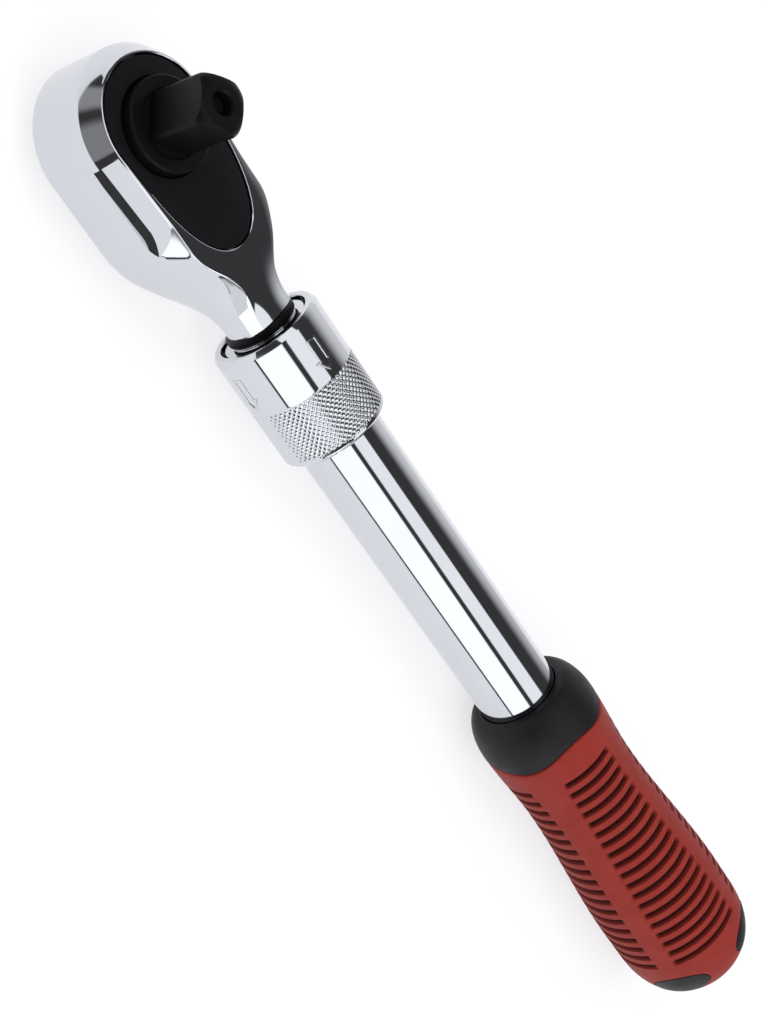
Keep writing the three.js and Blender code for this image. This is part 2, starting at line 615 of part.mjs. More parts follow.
// Square bar whose end is rounded on a lathe.
function squareDrive() {
  const steps = 5;
  const cornerOut = (SQUARE / 2 - SQUARE_CORNER_RADIUS) * Math.SQRT2 + SQUARE_CORNER_RADIUS;
  const blank = [[GEAR_TOP, 0], [GEAR_TOP, SQUARE]];
  blank.push([SQUARE_END - SQUARE_END_ROUND, SQUARE]);
  for (let i = 0; i <= steps; i++) {
    const angle = (i / steps) * (Math.PI / 2);
    const radius = cornerOut - SQUARE_END_INSET * (1 - Math.cos(angle));
    blank.push([SQUARE_END - SQUARE_END_ROUND * (1 - Math.sin(angle)), radius]);
  }
  blank.push([SQUARE_END, 0]);
  return prismZ(squareShape(), GEAR_TOP, SQUARE_END, 4).intersect(revolveZ(blank));
}

// Gear, hub and square drive in one piece, bored for the release pin, its spring and the ball.
function driveGear() {
  const body = union([
    prismZ(gearShape(), GEAR_BOTTOM, GEAR_TOP),
    cylinderZ(GEAR_JOURNAL_RADIUS, JOURNAL_BOTTOM, GEAR_TOP),
    revolveZ([
      [GEAR_BOTTOM, 0],
      [GEAR_BOTTOM, HUB_RADIUS],
      [SHOULDER - HUB_CHAMFER, HUB_RADIUS],
      [SHOULDER, HUB_RADIUS - HUB_CHAMFER],
      [SHOULDER, 0],
    ], FINE_FACETS),
    squareDrive(),
  ]);
  const below = JOURNAL_BOTTOM - CUT_OVERRUN;
  const bores = union([
    cylinderZ(PIN_RADIUS + SLIDE_GAP, below, SQUARE_END + CUT_OVERRUN),
    cylinderZ(BUTTON_RADIUS + SLIDE_GAP, below, SPRING_TOP + SEAT_GAP),
    cylinderX(DETENT_RADIUS + SLIDE_GAP / 2, 0, SQUARE, FACETS).translate([0, 0, DETENT_Z]),
  ]);
  return body.subtract(bores).rotate([0, 0, SQUARE_TURN]);
}

function detentBall() {
  return ball(DETENT_RADIUS, [DETENT_OUT, 0, DETENT_Z]).rotate([0, 0, SQUARE_TURN]);
}

// Pin with a waist below the ball, which lets the ball sink when the button is pressed.
function releasePin() {
  const waist = DETENT_Z - RELEASE_TRAVEL;
  const neck = RELEASE_NECK_DIAMETER / 2;
  const inner = RELEASE_NECK_LENGTH / 2;
  const outer = inner + RELEASE_NECK_CONE;
  const bottom = HEAD_BACK - RELEASE_BUTTON_RISE;
  return revolveZ([
    [bottom, 0],
    [bottom, BUTTON_RADIUS - RELEASE_BUTTON_ROUND],
    [bottom + RELEASE_BUTTON_ROUND, BUTTON_RADIUS],
    [JOURNAL_BOTTOM, BUTTON_RADIUS],
    [JOURNAL_BOTTOM, PIN_RADIUS],
    [waist - outer, PIN_RADIUS],
    [waist - inner, neck],
    [waist + inner, neck],
    [waist + outer, PIN_RADIUS],
    [SQUARE_END - RELEASE_RECESS, PIN_RADIUS],
    [SQUARE_END - RELEASE_RECESS, 0],
  ]);
}

function releaseSpring() {
  const spring = coilSpring("release_spring", {
    meanRadius: (PIN_RADIUS + BUTTON_RADIUS + SLIDE_GAP) / 2,
    wire: RELEASE_SPRING_WIRE,
    curls: RELEASE_SPRING_CURLS,
    length: RELEASE_SPRING_LENGTH,
    steps: 12,
  });
  return spring.translate([0, 0, SPRING_BOTTOM]);
}

// Turns a solid about the pawl's pin.
function rockPawl(solid, degrees) {
  return solid.translate([-PAWL_X, 0, 0]).rotate([0, 0, degrees]).translate([PAWL_X, 0, 0]);
}

// Two toothed arms, an eye for the pin and a tail for the plunger. The teeth are the gear's own print.
function pawl() {
  const bottom = POCKET_FLOOR + SLIDE_GAP;
  const top = COVER_BOTTOM - SLIDE_GAP;
  const half = THREE.MathUtils.degToRad(PAWL_ARM_ANGLE);
  const band = new THREE.Shape();
  band.absarc(0, 0, GEAR_RADIUS + PAWL_BAND, -half, half, false);
  band.absarc(0, 0, GEAR_RADIUS + MESH_GAP, half, -half, true);
  band.closePath();
  const tailEnd = PAWL_X + PAWL_TAIL;
  const tailBottom = LEVER_CLIP_TOP + 2 * SLIDE_GAP;
  const blank = union([
    prismZ(band, bottom, top),
    cylinderZ(PAWL_EYE_DIAMETER / 2, bottom, top).translate([PAWL_X, 0, 0]),
  ]);
  const clipRoom = cylinderZ(LEVER_ROOM + SLIDE_GAP, bottom - CUT_OVERRUN, tailBottom);
  const tail = block(PAWL_X, tailEnd, PAWL_TAIL_WIDTH / 2, tailBottom, top);
  const gear = prismZ(gearShape(MESH_GAP), bottom - CUT_OVERRUN, top + CUT_OVERRUN);
  const prints = [-1, -1 / 3, 1 / 3, 1].map((share) => rockPawl(gear, share * PAWL_ROCK));
  const bore = cylinderZ(PAWL_PIN_DIAMETER / 2 + SLIDE_GAP, bottom - CUT_OVERRUN, top + CUT_OVERRUN);
  const cuts = union([...prints, clipRoom.translate([LEVER_X, 0, 0]), bore.translate([PAWL_X, 0, 0])]);
  return rockPawl(blank.add(tail).subtract(cuts), -PAWL_ROCK);
}

function pawlPin() {
  const bottom = POCKET_FLOOR - PAWL_PIN_SEAT;
  return cylinderZ(PAWL_PIN_DIAMETER / 2, bottom, COVER_BOTTOM - SEAT_GAP).translate([PAWL_X, 0, 0]);
}

// Brings a piece drawn about the Z axis to the lever's stem, swung to its rest position.
function placeOnStem(solid) {
  return solid.rotate([0, 0, LEVER_SWING / 2]).translate([LEVER_X, 0, 0]);
}

// Plan of the lever: a disc over the stem that tapers to a round thumb end.
function leverShape() {
  const disc = LEVER_DISC_DIAMETER / 2;
  const thumb = LEVER_THUMB_DIAMETER / 2;
  const touch = Math.acos((disc - thumb) / LEVER_REACH);
  const shape = new THREE.Shape();
  shape.absarc(0, 0, disc, touch, 2 * Math.PI - touch);
  shape.absarc(LEVER_REACH, 0, thumb, -touch, touch);
  shape.closePath();
  return shape;
}

function reversingLever() {
  const top = HEAD_BACK - SLIDE_GAP;
  const bottom = top - LEVER_THICKNESS;
  const stemTop = COVER_BOTTOM - SLIDE_GAP;
  const grooveFloor = STEM_RADIUS - LEVER_CLIP_SEAT;
  const stem = revolveZ([
    [bottom, 0],
    [bottom, STEM_RADIUS],
    [LEVER_CLIP_BOTTOM - SEAT_GAP, STEM_RADIUS],
    [LEVER_CLIP_BOTTOM - SEAT_GAP, grooveFloor],
    [LEVER_CLIP_TOP + SEAT_GAP, grooveFloor],
    [LEVER_CLIP_TOP + SEAT_GAP, STEM_RADIUS],
    [stemTop, STEM_RADIUS],
    [stemTop, 0],
  ]);
  const pieces = [prismZ(leverShape(), bottom, top), stem];
  for (let i = 0; i < LEVER_RIDGES; i++) {
    const x = LEVER_REACH + (i - (LEVER_RIDGES - 1) / 2) * LEVER_RIDGE_PITCH;
    const halfWidth = LEVER_THUMB_DIAMETER / 3;
    const half = LEVER_RIDGE_WIDTH / 2;
    pieces.push(block(x - half, x + half, halfWidth, bottom - LEVER_RIDGE_HEIGHT, bottom + half));
  }
  const boreEnd = PLUNGER_LENGTH + PLUNGER_SPRING_LENGTH + 2 * SEAT_GAP - PLUNGER_TIP;
  const bore = cylinderX(PLUNGER_RADIUS + SLIDE_GAP, -2 * STEM_RADIUS, boreEnd, SMALL_FACETS);
  return placeOnStem(union(pieces).subtract(bore.translate([0, 0, PLUNGER_HEIGHT])));
}

function leverPlunger() {
  const steps = 4;
  const outline = [[PLUNGER_LENGTH - PLUNGER_TIP, 0], [PLUNGER_LENGTH - PLUNGER_TIP, PLUNGER_RADIUS]];
  for (let i = 0; i <= steps; i++) {
    const angle = (i / steps) * (Math.PI / 2);
    outline.push([PLUNGER_RADIUS * (1 - Math.sin(angle)) - PLUNGER_TIP, PLUNGER_RADIUS * Math.cos(angle)]);
  }
  return placeOnStem(revolveX(outline, SMALL_FACETS).translate([0, 0, PLUNGER_HEIGHT]));
}

function leverSpring() {
  const spring = coilSpring("lever_spring", {
    meanRadius: PLUNGER_RADIUS - PLUNGER_SPRING_WIRE / 2,
    wire: PLUNGER_SPRING_WIRE,
    curls: PLUNGER_SPRING_CURLS,
    length: PLUNGER_SPRING_LENGTH,
    steps: 8,
  });
  const start = PLUNGER_LENGTH - PLUNGER_TIP + SEAT_GAP;
  return placeOnStem(spring.rotate([0, 90, 0]).translate([start, 0, PLUNGER_HEIGHT]));
}

function leverClip() {
  const clip = openRing(LEVER_CLIP_INNER, LEVER_CLIP_OUTER, LEVER_CLIP_BOTTOM, LEVER_CLIP_TOP);
  return placeOnStem(clip.rotate([0, -90, 0]));
}

// Guide of the bar in the tube's front end, drilled for the two lock balls.
function frontBush() {
  const step = BUSH_STEP_DIAMETER / 2;
  const flange = BUSH_FLANGE_DIAMETER / 2;
  const ringFloor = BUSH_RADIUS - RING_SEAT;
  const insert = TUBE_BORE - SEAT_GAP;
  const face = BUSH_X - BUSH_STEP;
  const body = revolveX([
    [face, 0],
    [face, step],
    [BUSH_X, step],
    [BUSH_X, flange],
    [RING_X - SEAT_GAP, flange],
    [RING_X - SEAT_GAP, ringFloor],
    [RING_X + RING_WIDTH + SEAT_GAP, ringFloor],
    [RING_X + RING_WIDTH + SEAT_GAP, BUSH_RADIUS],
    [TUBE_X - SEAT_GAP, BUSH_RADIUS],
    [TUBE_X - SEAT_GAP, insert],
    [BUSH_END, insert],
    [BUSH_END, 0],
  ]);
  const start = face - CUT_OVERRUN;
  const end = BUSH_END + CUT_OVERRUN;
  const round = cylinderX(BAR_RADIUS + SLIDE_GAP, start, end);
  const flats = block(start, end, BAR_FLAT_WIDTH / 2 + SLIDE_GAP, -TUBE_RADIUS, TUBE_RADIUS);
  const holes = cylinderZ(LOCK_BALL_RADIUS + SLIDE_GAP, -TUBE_RADIUS, TUBE_RADIUS).translate([BALL_X, 0, 0]);
  return body.subtract(round.intersect(flats).add(holes));
}

function lockBall(side) {
  return ball(LOCK_BALL_RADIUS, [BALL_X, 0, side * LOCK_BALL_OUT]);
}

// Sleeve that the fingers pull back: its land holds the balls in the bar's groove.
function lockCollar() {
  const outer = COLLAR_DIAMETER / 2;
  return revolveX([
    [COLLAR_X, MOUTH_RADIUS],
    [COLLAR_X, outer - COLLAR_CHAMFER_DEPTH],
    [COLLAR_X + COLLAR_CHAMFER, outer],
    [COLLAR_END - COLLAR_REAR_CHAMFER, outer],
    [COLLAR_END, outer - COLLAR_REAR_CHAMFER],
    [COLLAR_END, SKIRT_RADIUS],
    [LAND_END, SKIRT_RADIUS],
    [LAND_END, LAND_RADIUS],
    [LAND_X + COLLAR_RAMP, LAND_RADIUS],
    [LAND_X, LAND_RADIUS + COLLAR_RAMP_RISE],
    [LAND_X, MOUTH_RADIUS],
  ]);
}

function collarSpring() {
  const spring = coilSpring("collar_spring", {
    meanRadius: (BUSH_RADIUS + SKIRT_RADIUS) / 2,
    wire: COLLAR_SPRING_WIRE,
    curls: COLLAR_SPRING_CURLS,
    length: TUBE_X - LAND_END - 2 * SEAT_GAP,
    steps: 20,
  });
  return spring.rotate([0, 90, 0]).translate([LAND_END + SEAT_GAP, 0, 0]);
}

function collarRing() {
  return openRing(BUSH_RADIUS - RING_SEAT + SEAT_GAP, MOUTH_RADIUS - SLIDE_GAP, RING_X, RING_X + RING_WIDTH);
}

function handleTube() {
  return ringX(TUBE_BORE, TUBE_RADIUS, TUBE_X, TUBE_END);
}

function barStop() {
  return ringX(JOURNAL_RADIUS + SEAT_GAP, TUBE_BORE - SLIDE_GAP, STOP_X, STOP_X + STOP_LENGTH, FACETS);
}

function barStopClip() {
  const inner = JOURNAL_RADIUS - STOP_CLIP_SEAT + SEAT_GAP;
  return openRing(inner, inner + STOP_CLIP_WIDTH, STOP_CLIP_X, STOP_CLIP_END);
}

// Outer radius of the grip at a distance from its mouth.
function gripRadius(at) {
  const mouth = GRIP_MOUTH_DIAMETER / 2;
  const front = GRIP_FRONT_DIAMETER / 2;
  const waist = GRIP_WAIST_DIAMETER / 2;
  if (at < GRIP_FRONT_AT) return mouth + (front - mouth) * Math.sqrt(1 - (1 - at / GRIP_FRONT_AT) ** 2);
  const toWaist = ease((at - GRIP_FRONT_AT) / (GRIP_WAIST_AT - GRIP_FRONT_AT));
  if (at < GRIP_WAIST_AT) return THREE.MathUtils.lerp(front, waist, toWaist);
  const toSwell = ease((at - GRIP_WAIST_AT) / (GRIP_SWELL_AT - GRIP_WAIST_AT));
  if (at < GRIP_ROUND_AT) return THREE.MathUtils.lerp(waist, SWELL_RADIUS, toSwell);
  const share = (at - GRIP_ROUND_AT) / (GRIP_LENGTH - GRIP_ROUND_AT);
  return SWELL_RADIUS * (1 - share ** GRIP_FULLNESS) ** (1 / GRIP_FULLNESS);
}

// Outer outline of the grip between two distances from its mouth.
function gripOutline(from, to, steps) {
  const outline = [];
  for (let i = 0; i <= steps; i++) {
    const at = THREE.MathUtils.lerp(from, to, i / steps);
    outline.push([GRIP_X + at, gripRadius(at)]);
  }
  return outline;
}

const SLEEVE_END = GRIP_LENGTH - GRIP_DOME;
const TAIL_RADIUS = gripRadius(SLEEVE_END) - TAIL_WALL; // bore of the sleeve's rear edge

// Lens-shaped cutters at the rear of the grip, one on each spine, with their edges moved out by a margin.
function windows(margin) {
  const depth = GRIP_SWELL_DIAMETER / 2;
  const lens = new THREE.Shape();
  lens.absellipse(0, 0, WINDOW_HEIGHT / 2 + margin, WINDOW_WIDTH / 2 + margin, 0, 2 * Math.PI);
  const lying = prismZ(lens, -depth / 2, depth / 2, SMALL_FACETS);
  const leaning = lying.rotate([0, WINDOW_TILT, 0]).translate([GRIP_X + WINDOW_AT, 0, gripRadius(WINDOW_AT)]);
  const turned = [];
  for (let panel = 0; panel < PANELS; panel++) {
    turned.push(leaning.rotate([(panel * 360) / PANELS - GRIP_TURN, 0, 0]));
  }
  return union(turned);
}

// Hard core: flared front end, hollow for the tube, and pads that show through the sleeve's windows.
function gripCore() {
  const sleeveFront = GRIP_X + SLEEVE_START - SEAT_GAP;
  const boreEnd = TUBE_END + SEAT_GAP;
  const bore = TUBE_RADIUS + SEAT_GAP;
  const tail = TAIL_RADIUS - SEAT_GAP;
  const domeSteps = 5;
  const outline = [[GRIP_X, bore], ...gripOutline(0, SLEEVE_START - SEAT_GAP, 8)];
  outline.push([sleeveFront, CORE_RADIUS], [GRIP_X + CORE_TAPER_AT, CORE_RADIUS]);
  for (let i = 0; i <= domeSteps; i++) {
    const angle = (i / domeSteps) * (Math.PI / 2);
    outline.push([GRIP_END - GRIP_DOME * (1 - Math.sin(angle)), tail * Math.cos(angle)]);
  }
  outline.push([boreEnd, 0], [boreEnd, bore]);
  const filled = [[GRIP_X + CORE_TAPER_AT - WINDOW_HEIGHT, 0]];
  filled.push(...gripOutline(CORE_TAPER_AT - WINDOW_HEIGHT, SLEEVE_END, 8), [GRIP_X + SLEEVE_END, 0]);
  const pads = windows(-SEAT_GAP).intersect(revolveX(filled, GRIP_FACETS));
  return revolveX(outline, GRIP_FACETS).add(pads);
}

// Cutters for the grip panels: one short arc for each groove, longer towards the rear.
function grooveCutters() {
  const cutters = [];
  for (let groove = 0; groove < GROOVES; groove++) {
    const at = GROOVE_START + groove * GROOVE_PITCH;
    const share = groove / (GROOVES - 1);
    const half = THREE.MathUtils.degToRad(THREE.MathUtils.lerp(GROOVE_FRONT_ANGLE, GROOVE_REAR_ANGLE, share));
    const arc = new THREE.Shape();
    arc.absarc(0, 0, gripRadius(at) + CUT_OVERRUN, -half, half, false);
    arc.absarc(0, 0, gripRadius(at) - GROOVE_DEPTH, half, -half, true);
    arc.closePath();
    const start = GRIP_X + at - GROOVE_WIDTH / 2;
    const cutter = prismX(arc, start, start + GROOVE_WIDTH, 3);
    for (let panel = 0; panel < PANELS; panel++) {
      cutters.push(cutter.rotate([((panel + 0.5) * 360) / PANELS - GRIP_TURN, 0, 0]));
    }
  }
  return union(cutters);
}

// Soft ribbed sleeve over the core.
function gripSleeve() {
  const bore = CORE_RADIUS + SEAT_GAP;
  const outline = gripOutline(SLEEVE_START, SLEEVE_END, 14);
  outline.push([GRIP_X + SLEEVE_END, TAIL_RADIUS], [GRIP_X + CORE_TAPER_AT, bore]);
  outline.push([GRIP_X + SLEEVE_START, bore]);
  return revolveX(outline, GRIP_FACETS).subtract(windows(0)).subtract(grooveCutters());
}

const PIECES = [
  ["head_body", headBody(), CHROME],
  ["cover_plate", coverPlate(), BLACK_STEEL],
  ["drive_gear", driveGear(), BLACK_STEEL],
  ["detent_ball", detentBall(), STEEL],
  ["release_pin", releasePin(), BLACK_STEEL],
  ["release_spring", releaseSpring(), STEEL],
  ["pawl", pawl(), STEEL],
  ["pawl_pin", pawlPin(), STEEL],
  ["reversing_lever", reversingLever(), BLACK_STEEL],
  ["lever_plunger", leverPlunger(), STEEL],
  ["lever_spring", leverSpring(), STEEL],
  ["lever_clip", leverClip(), STEEL],
  ["bar_stop", barStop(), STEEL],
  ["bar_stop_clip", barStopClip(), STEEL],
  ["front_bush", frontBush(), CHROME],
  ["lock_ball_top", lockBall(1), STEEL],
  ["lock_ball_bottom", lockBall(-1), STEEL],
  ["lock_collar", lockCollar(), CHROME],
  ["collar_spring", collarSpring(), STEEL],
  ["collar_ring", collarRing(), BLACK_STEEL],
  ["handle_tube", handleTube(), CHROME],
  ["grip_core", gripCore(), BLACK_PLASTIC],
  ["grip_sleeve", gripSleeve(), RED_RUBBER],
];

// The origin lies under the middle of the closed ratchet, at the height of the grip's underside.
const ratchet = new THREE.Group();
ratchet.name = "extendable_ratchet";
ratchet.position.set((HEAD_FRONT_SHIFT + HEAD_HALF_WIDTH - GRIP_END) / 2, 0, SWELL_RADIUS);
for (const [name, solid, finish] of PIECES) {
  const mesh = new THREE.Mesh(geometryOf(solid), new THREE.MeshStandardMaterial(finish));
  mesh.name = name;
  ratchet.add(mesh);
}

export default ratchet;
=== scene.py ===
"""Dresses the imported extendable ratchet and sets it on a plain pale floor.

The meshes are drawn in millimetres in the tool's own frame: X runs along the handle from the drive
axis to the grip, Z along the drive, and the handle's axis is Y = Z = 0. One transform then puts
them into the row frame in metres.
"""

import logging
import math
from dataclasses import dataclass
from enum import Enum
from typing import Sequence

import bmesh
import bpy
from mathutils import Matrix, Vector


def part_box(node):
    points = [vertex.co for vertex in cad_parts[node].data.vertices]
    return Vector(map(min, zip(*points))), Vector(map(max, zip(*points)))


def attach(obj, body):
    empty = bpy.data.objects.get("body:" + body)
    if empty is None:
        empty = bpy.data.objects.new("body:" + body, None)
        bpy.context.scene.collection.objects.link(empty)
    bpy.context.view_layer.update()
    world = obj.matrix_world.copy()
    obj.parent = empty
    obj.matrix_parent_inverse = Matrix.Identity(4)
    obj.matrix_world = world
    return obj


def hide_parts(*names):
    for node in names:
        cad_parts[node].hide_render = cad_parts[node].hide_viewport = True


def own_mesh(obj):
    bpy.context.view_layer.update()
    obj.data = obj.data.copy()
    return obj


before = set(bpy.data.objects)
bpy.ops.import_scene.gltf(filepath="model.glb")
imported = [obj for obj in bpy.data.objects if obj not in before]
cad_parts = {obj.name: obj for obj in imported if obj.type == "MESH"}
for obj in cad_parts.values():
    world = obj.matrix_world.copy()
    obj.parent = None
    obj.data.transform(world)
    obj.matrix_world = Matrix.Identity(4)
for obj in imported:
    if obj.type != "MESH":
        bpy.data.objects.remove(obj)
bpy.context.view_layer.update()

LOG = logging.getLogger("ratchet")
MM = 0.001
Point2 = tuple[float, float]
Corner = tuple[float, float, float]
Loop = list[Vector]
Solid = bmesh.types.BMesh


class Body(Enum):
    """The rigid bodies that pieces ride on."""

    HANDLE = "handle"
    HEAD = "head"
    DRIVE = "drive"
    RELEASE = "release"
    DETENT = "detent"
    LEVER = "lever"
    PAWL = "pawl"
    COLLAR = "collar"
    BALL_TOP = "ball_top"
    BALL_BOTTOM = "ball_bottom"


class Slot(Enum):
    """The record's material slots."""

    CHROME = "chrome_steel"
    BLACK_STEEL = "black_steel"
    BRIGHT_STEEL = "bright_steel"
    PLASTIC = "black_plastic"
    RUBBER = "red_rubber"


# Node and colour helpers


def linear(hex_colour: str) -> tuple[float, float, float, float]:
    """Turns an sRGB hex colour into linear RGBA.

    Args:
        hex_colour: Six hex digits with a leading hash.

    Returns:
        Linear red, green, blue and an alpha of one.
    """
    parts = [int(hex_colour[i : i + 2], 16) / 255 for i in (1, 3, 5)]
    red, green, blue = (c / 12.92 if c <= 0.04045 else ((c + 0.055) / 1.055) ** 2.4 for c in parts)
    return red, green, blue, 1.0


def add_node(tree: bpy.types.NodeTree, kind: str, inputs: dict | None = None, **settings: object) -> bpy.types.Node:
    """Adds a node with its settings, values and links.

    Args:
        tree: The tree that gets the node.
        kind: Blender's name of the node type.
        inputs: Values or source sockets by input name or number.
        **settings: Attributes of the node.

    Returns:
        The new node.
    """
    node = tree.nodes.new(kind)
    for name, value in settings.items():
        setattr(node, name, value)
    for key, value in (inputs or {}).items():
        if isinstance(value, bpy.types.NodeSocket):
            tree.links.new(value, node.inputs[key])
        else:
            node.inputs[key].default_value = value
    return node


def per_metre(size_mm: float) -> float:
    """Gives a texture's scale for a pattern of a real size."""
    return 1 / (size_mm * MM)


# Finishes


@dataclass(frozen=True)
class Finish:
    """A surface with a mottled colour, a mottled gloss and a fine relief, and where given a painted shade in its
    grooves.
    """

    name: str
    colour: str
    shade: str
    metallic: float
    gloss: Point2  # roughness where the surface is cleanest and where it is dullest
    mottle_mm: float
    grain_mm: float
    grain_height_mm: float
    specular: float = 0.5
    coat: float = 0.0
    sheen: float = 0.0
    stretch: tuple[float, float, float] = (1.0, 1.0, 1.0)
    # Colour of the painted shade at the bottoms of the grooves, or None for no painted shade.
    groove_painted_shade: str | None = None

    def material(self) -> bpy.types.Material:
        """Builds the finish as a procedural material."""
        made = bpy.data.materials.get(self.name)
        if made:
            return made
        material = bpy.data.materials.new(self.name)
        material.use_nodes = True
        tree = material.node_tree
        shader = tree.nodes["Principled BSDF"]
        shader.inputs["Metallic"].default_value = self.metallic
        shader.inputs["Specular IOR Level"].default_value = self.specular
        shader.inputs["Coat Weight"].default_value = self.coat
        shader.inputs["Sheen Weight"].default_value = self.sheen
        place = add_node(tree, "ShaderNodeTexCoord").outputs["Object"]
        turned = add_node(tree, "ShaderNodeMapping", {"Vector": place, "Scale": self.stretch}).outputs["Vector"]
        mottle = add_node(tree, "ShaderNodeTexNoise",
                          {"Vector": turned, "Scale": per_metre(self.mottle_mm), "Detail": 5.0, "Roughness": 0.6})
        grain = add_node(tree, "ShaderNodeTexNoise",
                         {"Vector": turned, "Scale": per_metre(self.grain_mm), "Detail": 3.0, "Roughness": 0.55})
        # A mix node's sockets share names between kinds, so its colour ones go by number.
        tint = add_node(tree, "ShaderNodeMix", {"Factor": mottle.outputs["Fac"], 6: linear(self.colour),
                                                7: linear(self.shade)}, data_type="RGBA")
        colour = tint.outputs[2]
        # Painted shade: the colour darkens towards the groove bottoms by the depth share stored on the mesh's vertices.
        if self.groove_painted_shade:
            groove_shade_share = add_node(tree, "ShaderNodeAttribute", attribute_name="groove_shade_share").outputs["Fac"]
            groove_shaded = add_node(tree, "ShaderNodeMix", {"Factor": groove_shade_share, 6: colour, 7: linear(self.groove_painted_shade)},
                            data_type="RGBA")
            colour = groove_shaded.outputs[2]
        tree.links.new(colour, shader.inputs["Base Color"])
        gloss = add_node(tree, "ShaderNodeMapRange",
                         {"Value": mottle.outputs["Fac"], "From Min": 0.3, "From Max": 0.7,
                          "To Min": self.gloss[0], "To Max": self.gloss[1]})
        tree.links.new(gloss.outputs["Result"], shader.inputs["Roughness"])
        relief = add_node(tree, "ShaderNodeBump", {"Height": grain.outputs["Fac"], "Strength": 1.0,
                                                   "Distance": self.grain_height_mm * MM})
        tree.links.new(relief.outputs["Normal"], shader.inputs["Normal"])
        return material


# Polished plate: a clean mirror with faint wipe marks and hardly any relief.
CHROME = Finish("chrome-plated_steel", "#d6d8dc", "#cbced3", 1.0, (0.035, 0.07), 24, 9, 0.0012)
# Turned and plated, then cut by the knurling wheel: a duller bright metal.
KNURLED_CHROME = Finish("knurled_chrome-plated_steel", "#d9dbdf", "#c6c9ce", 1.0, (0.14, 0.22), 8, 0.8, 0.004)
# Blackened steel: nearly black, satin, with cloudy patches where the oil has dried.
BLACK_OXIDE = Finish("black-oxide_steel", "#060607", "#0c0c0e", 0.0, (0.36, 0.5), 7, 0.35, 0.006, specular=0.14)
# Stamped cover, blackened and tumbled: a finer, flatter black.
BLACK_PLATE = Finish("phosphated_steel_plate", "#0a0a0c", "#101013", 0.0, (0.42, 0.56), 9, 0.25, 0.006, specular=0.12)
# Hardened and ground steel of the inner pieces, with fine grinding lines.
GROUND_STEEL = Finish("ground_hardened_steel", "#a8abb0", "#8c9096", 1.0, (0.22, 0.34), 5, 0.3, 0.003,
                      stretch=(1, 6, 1))
# Moulded polypropylene with a fine spark-eroded grain.
POLYPROPYLENE = Finish("moulded_polypropylene", "#0f0f12", "#151519", 0.0, (0.46, 0.6), 6, 0.45, 0.02, specular=0.25)
# Thermoplastic rubber: matt, a little velvety, with a sandy moulded grain, and painted shade darkening the groove
# bottoms.
RUBBER = Finish("moulded_thermoplastic_rubber", "#85251c", "#731e17", 0.0, (0.62, 0.78), 9, 0.55, 0.035,
                specular=0.25, sheen=0.05, groove_painted_shade="#260705")


# Mesh helpers


def tool_to_row() -> Matrix:
    """Gives the transform from the tool's millimetres to the row frame's metres."""
    pin_low, pin_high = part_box("release_pin")
    tube_low, tube_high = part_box("handle_tube")
    axis_z = (tube_low.z + tube_high.z) / 2
    return Matrix.Translation(((pin_low.x + pin_high.x) / 2, 0, axis_z)) @ Matrix.Scale(MM, 4)


TO_ROW = tool_to_row()


def ease(value: float) -> float:
    """Goes from 0 to 1 with a level start and end."""
    t = min(max(value, 0.0), 1.0)
    return t * t * (3 - 2 * t)


def lerp(low: float, high: float, share: float) -> float:
    """Blends two numbers."""
    return low + (high - low) * share


def rounded(corners: Sequence[Corner], steps: int = 5) -> list[Point2]:
    """Rounds the corners of a closed outline.

    Args:
        corners: Place, radius from the axis and rounding of each corner.
        steps: Segments of each rounding.

    Returns:
        The outline's points, with an arc for each rounded corner.
    """
    points: list[Point2] = []
    count = len(corners)
    for i, (x, y, radius) in enumerate(corners):
        here = Vector((x, y))
        if radius <= 0:
            points.append((x, y))
            continue
        before = Vector(corners[i - 1][:2]) - here
        after = Vector(corners[(i + 1) % count][:2]) - here
        angle = before.angle(after)
        reach = min(radius / math.tan(angle / 2), 0.49 * before.length, 0.49 * after.length)
        start = here + before.normalized() * reach
        end = here + after.normalized() * reach
        for k in range(steps + 1):
            t = k / steps
            bend = start * (1 - t) ** 2 + here * 2 * t * (1 - t) + end * t**2
            points.append((bend.x, bend.y))
    return points


def chain(bm: Solid, points: Sequence[Vector], closed: bool) -> list[bmesh.types.BMEdge]:
    """Draws vertices joined by edges.

    Args:
        bm: The mesh that gets them.
        points: Where the vertices stand.
        closed: Whether the last joins the first.

    Returns:
        The new edges, in order.
    """
    verts = [bm.verts.new(p) for p in points]
    pairs = list(zip(verts, verts[1:]))
    if closed:
        pairs.append((verts[-1], verts[0]))
    return [bm.edges.new(pair) for pair in pairs]


def clean(bm: Solid) -> Solid:
    """Merges doubles and turns the faces outwards."""
    bmesh.ops.remove_doubles(bm, verts=bm.verts, dist=1e-4)
    bmesh.ops.dissolve_degenerate(bm, edges=bm.edges, dist=1e-5)
    bmesh.ops.recalc_face_normals(bm, faces=bm.faces)
    return bm


def spun(outline: Sequence[Point2], steps: int = 96, axis: str = "X", angle: float = 360.0) -> Solid:
    """Turns an outline about the handle's or the drive's axis.

    Args:
        outline: Points of [along, radius], a closed outline.
        steps: Facets of the turn.
        axis: X for the handle's axis, Z for the drive's.
        angle: Degrees of the turn.

    Returns:
        The turned solid, or an open sector of it.
    """
    bm = bmesh.new()
    along_x = axis == "X"
    points = [Vector((a, 0, r)) if along_x else Vector((r, 0, a)) for a, r in outline]
    edges = chain(bm, points, closed=True)
    full = angle >= 360
    bmesh.ops.spin(bm, geom=list(bm.verts) + edges, cent=(0, 0, 0), axis=(1, 0, 0) if along_x else (0, 0, 1),
                   angle=math.radians(angle), steps=steps, use_merge=full, use_duplicate=False)
    if not full:
        bmesh.ops.holes_fill(bm, edges=[e for e in bm.edges if e.is_boundary], sides=0)
    return clean(bm)


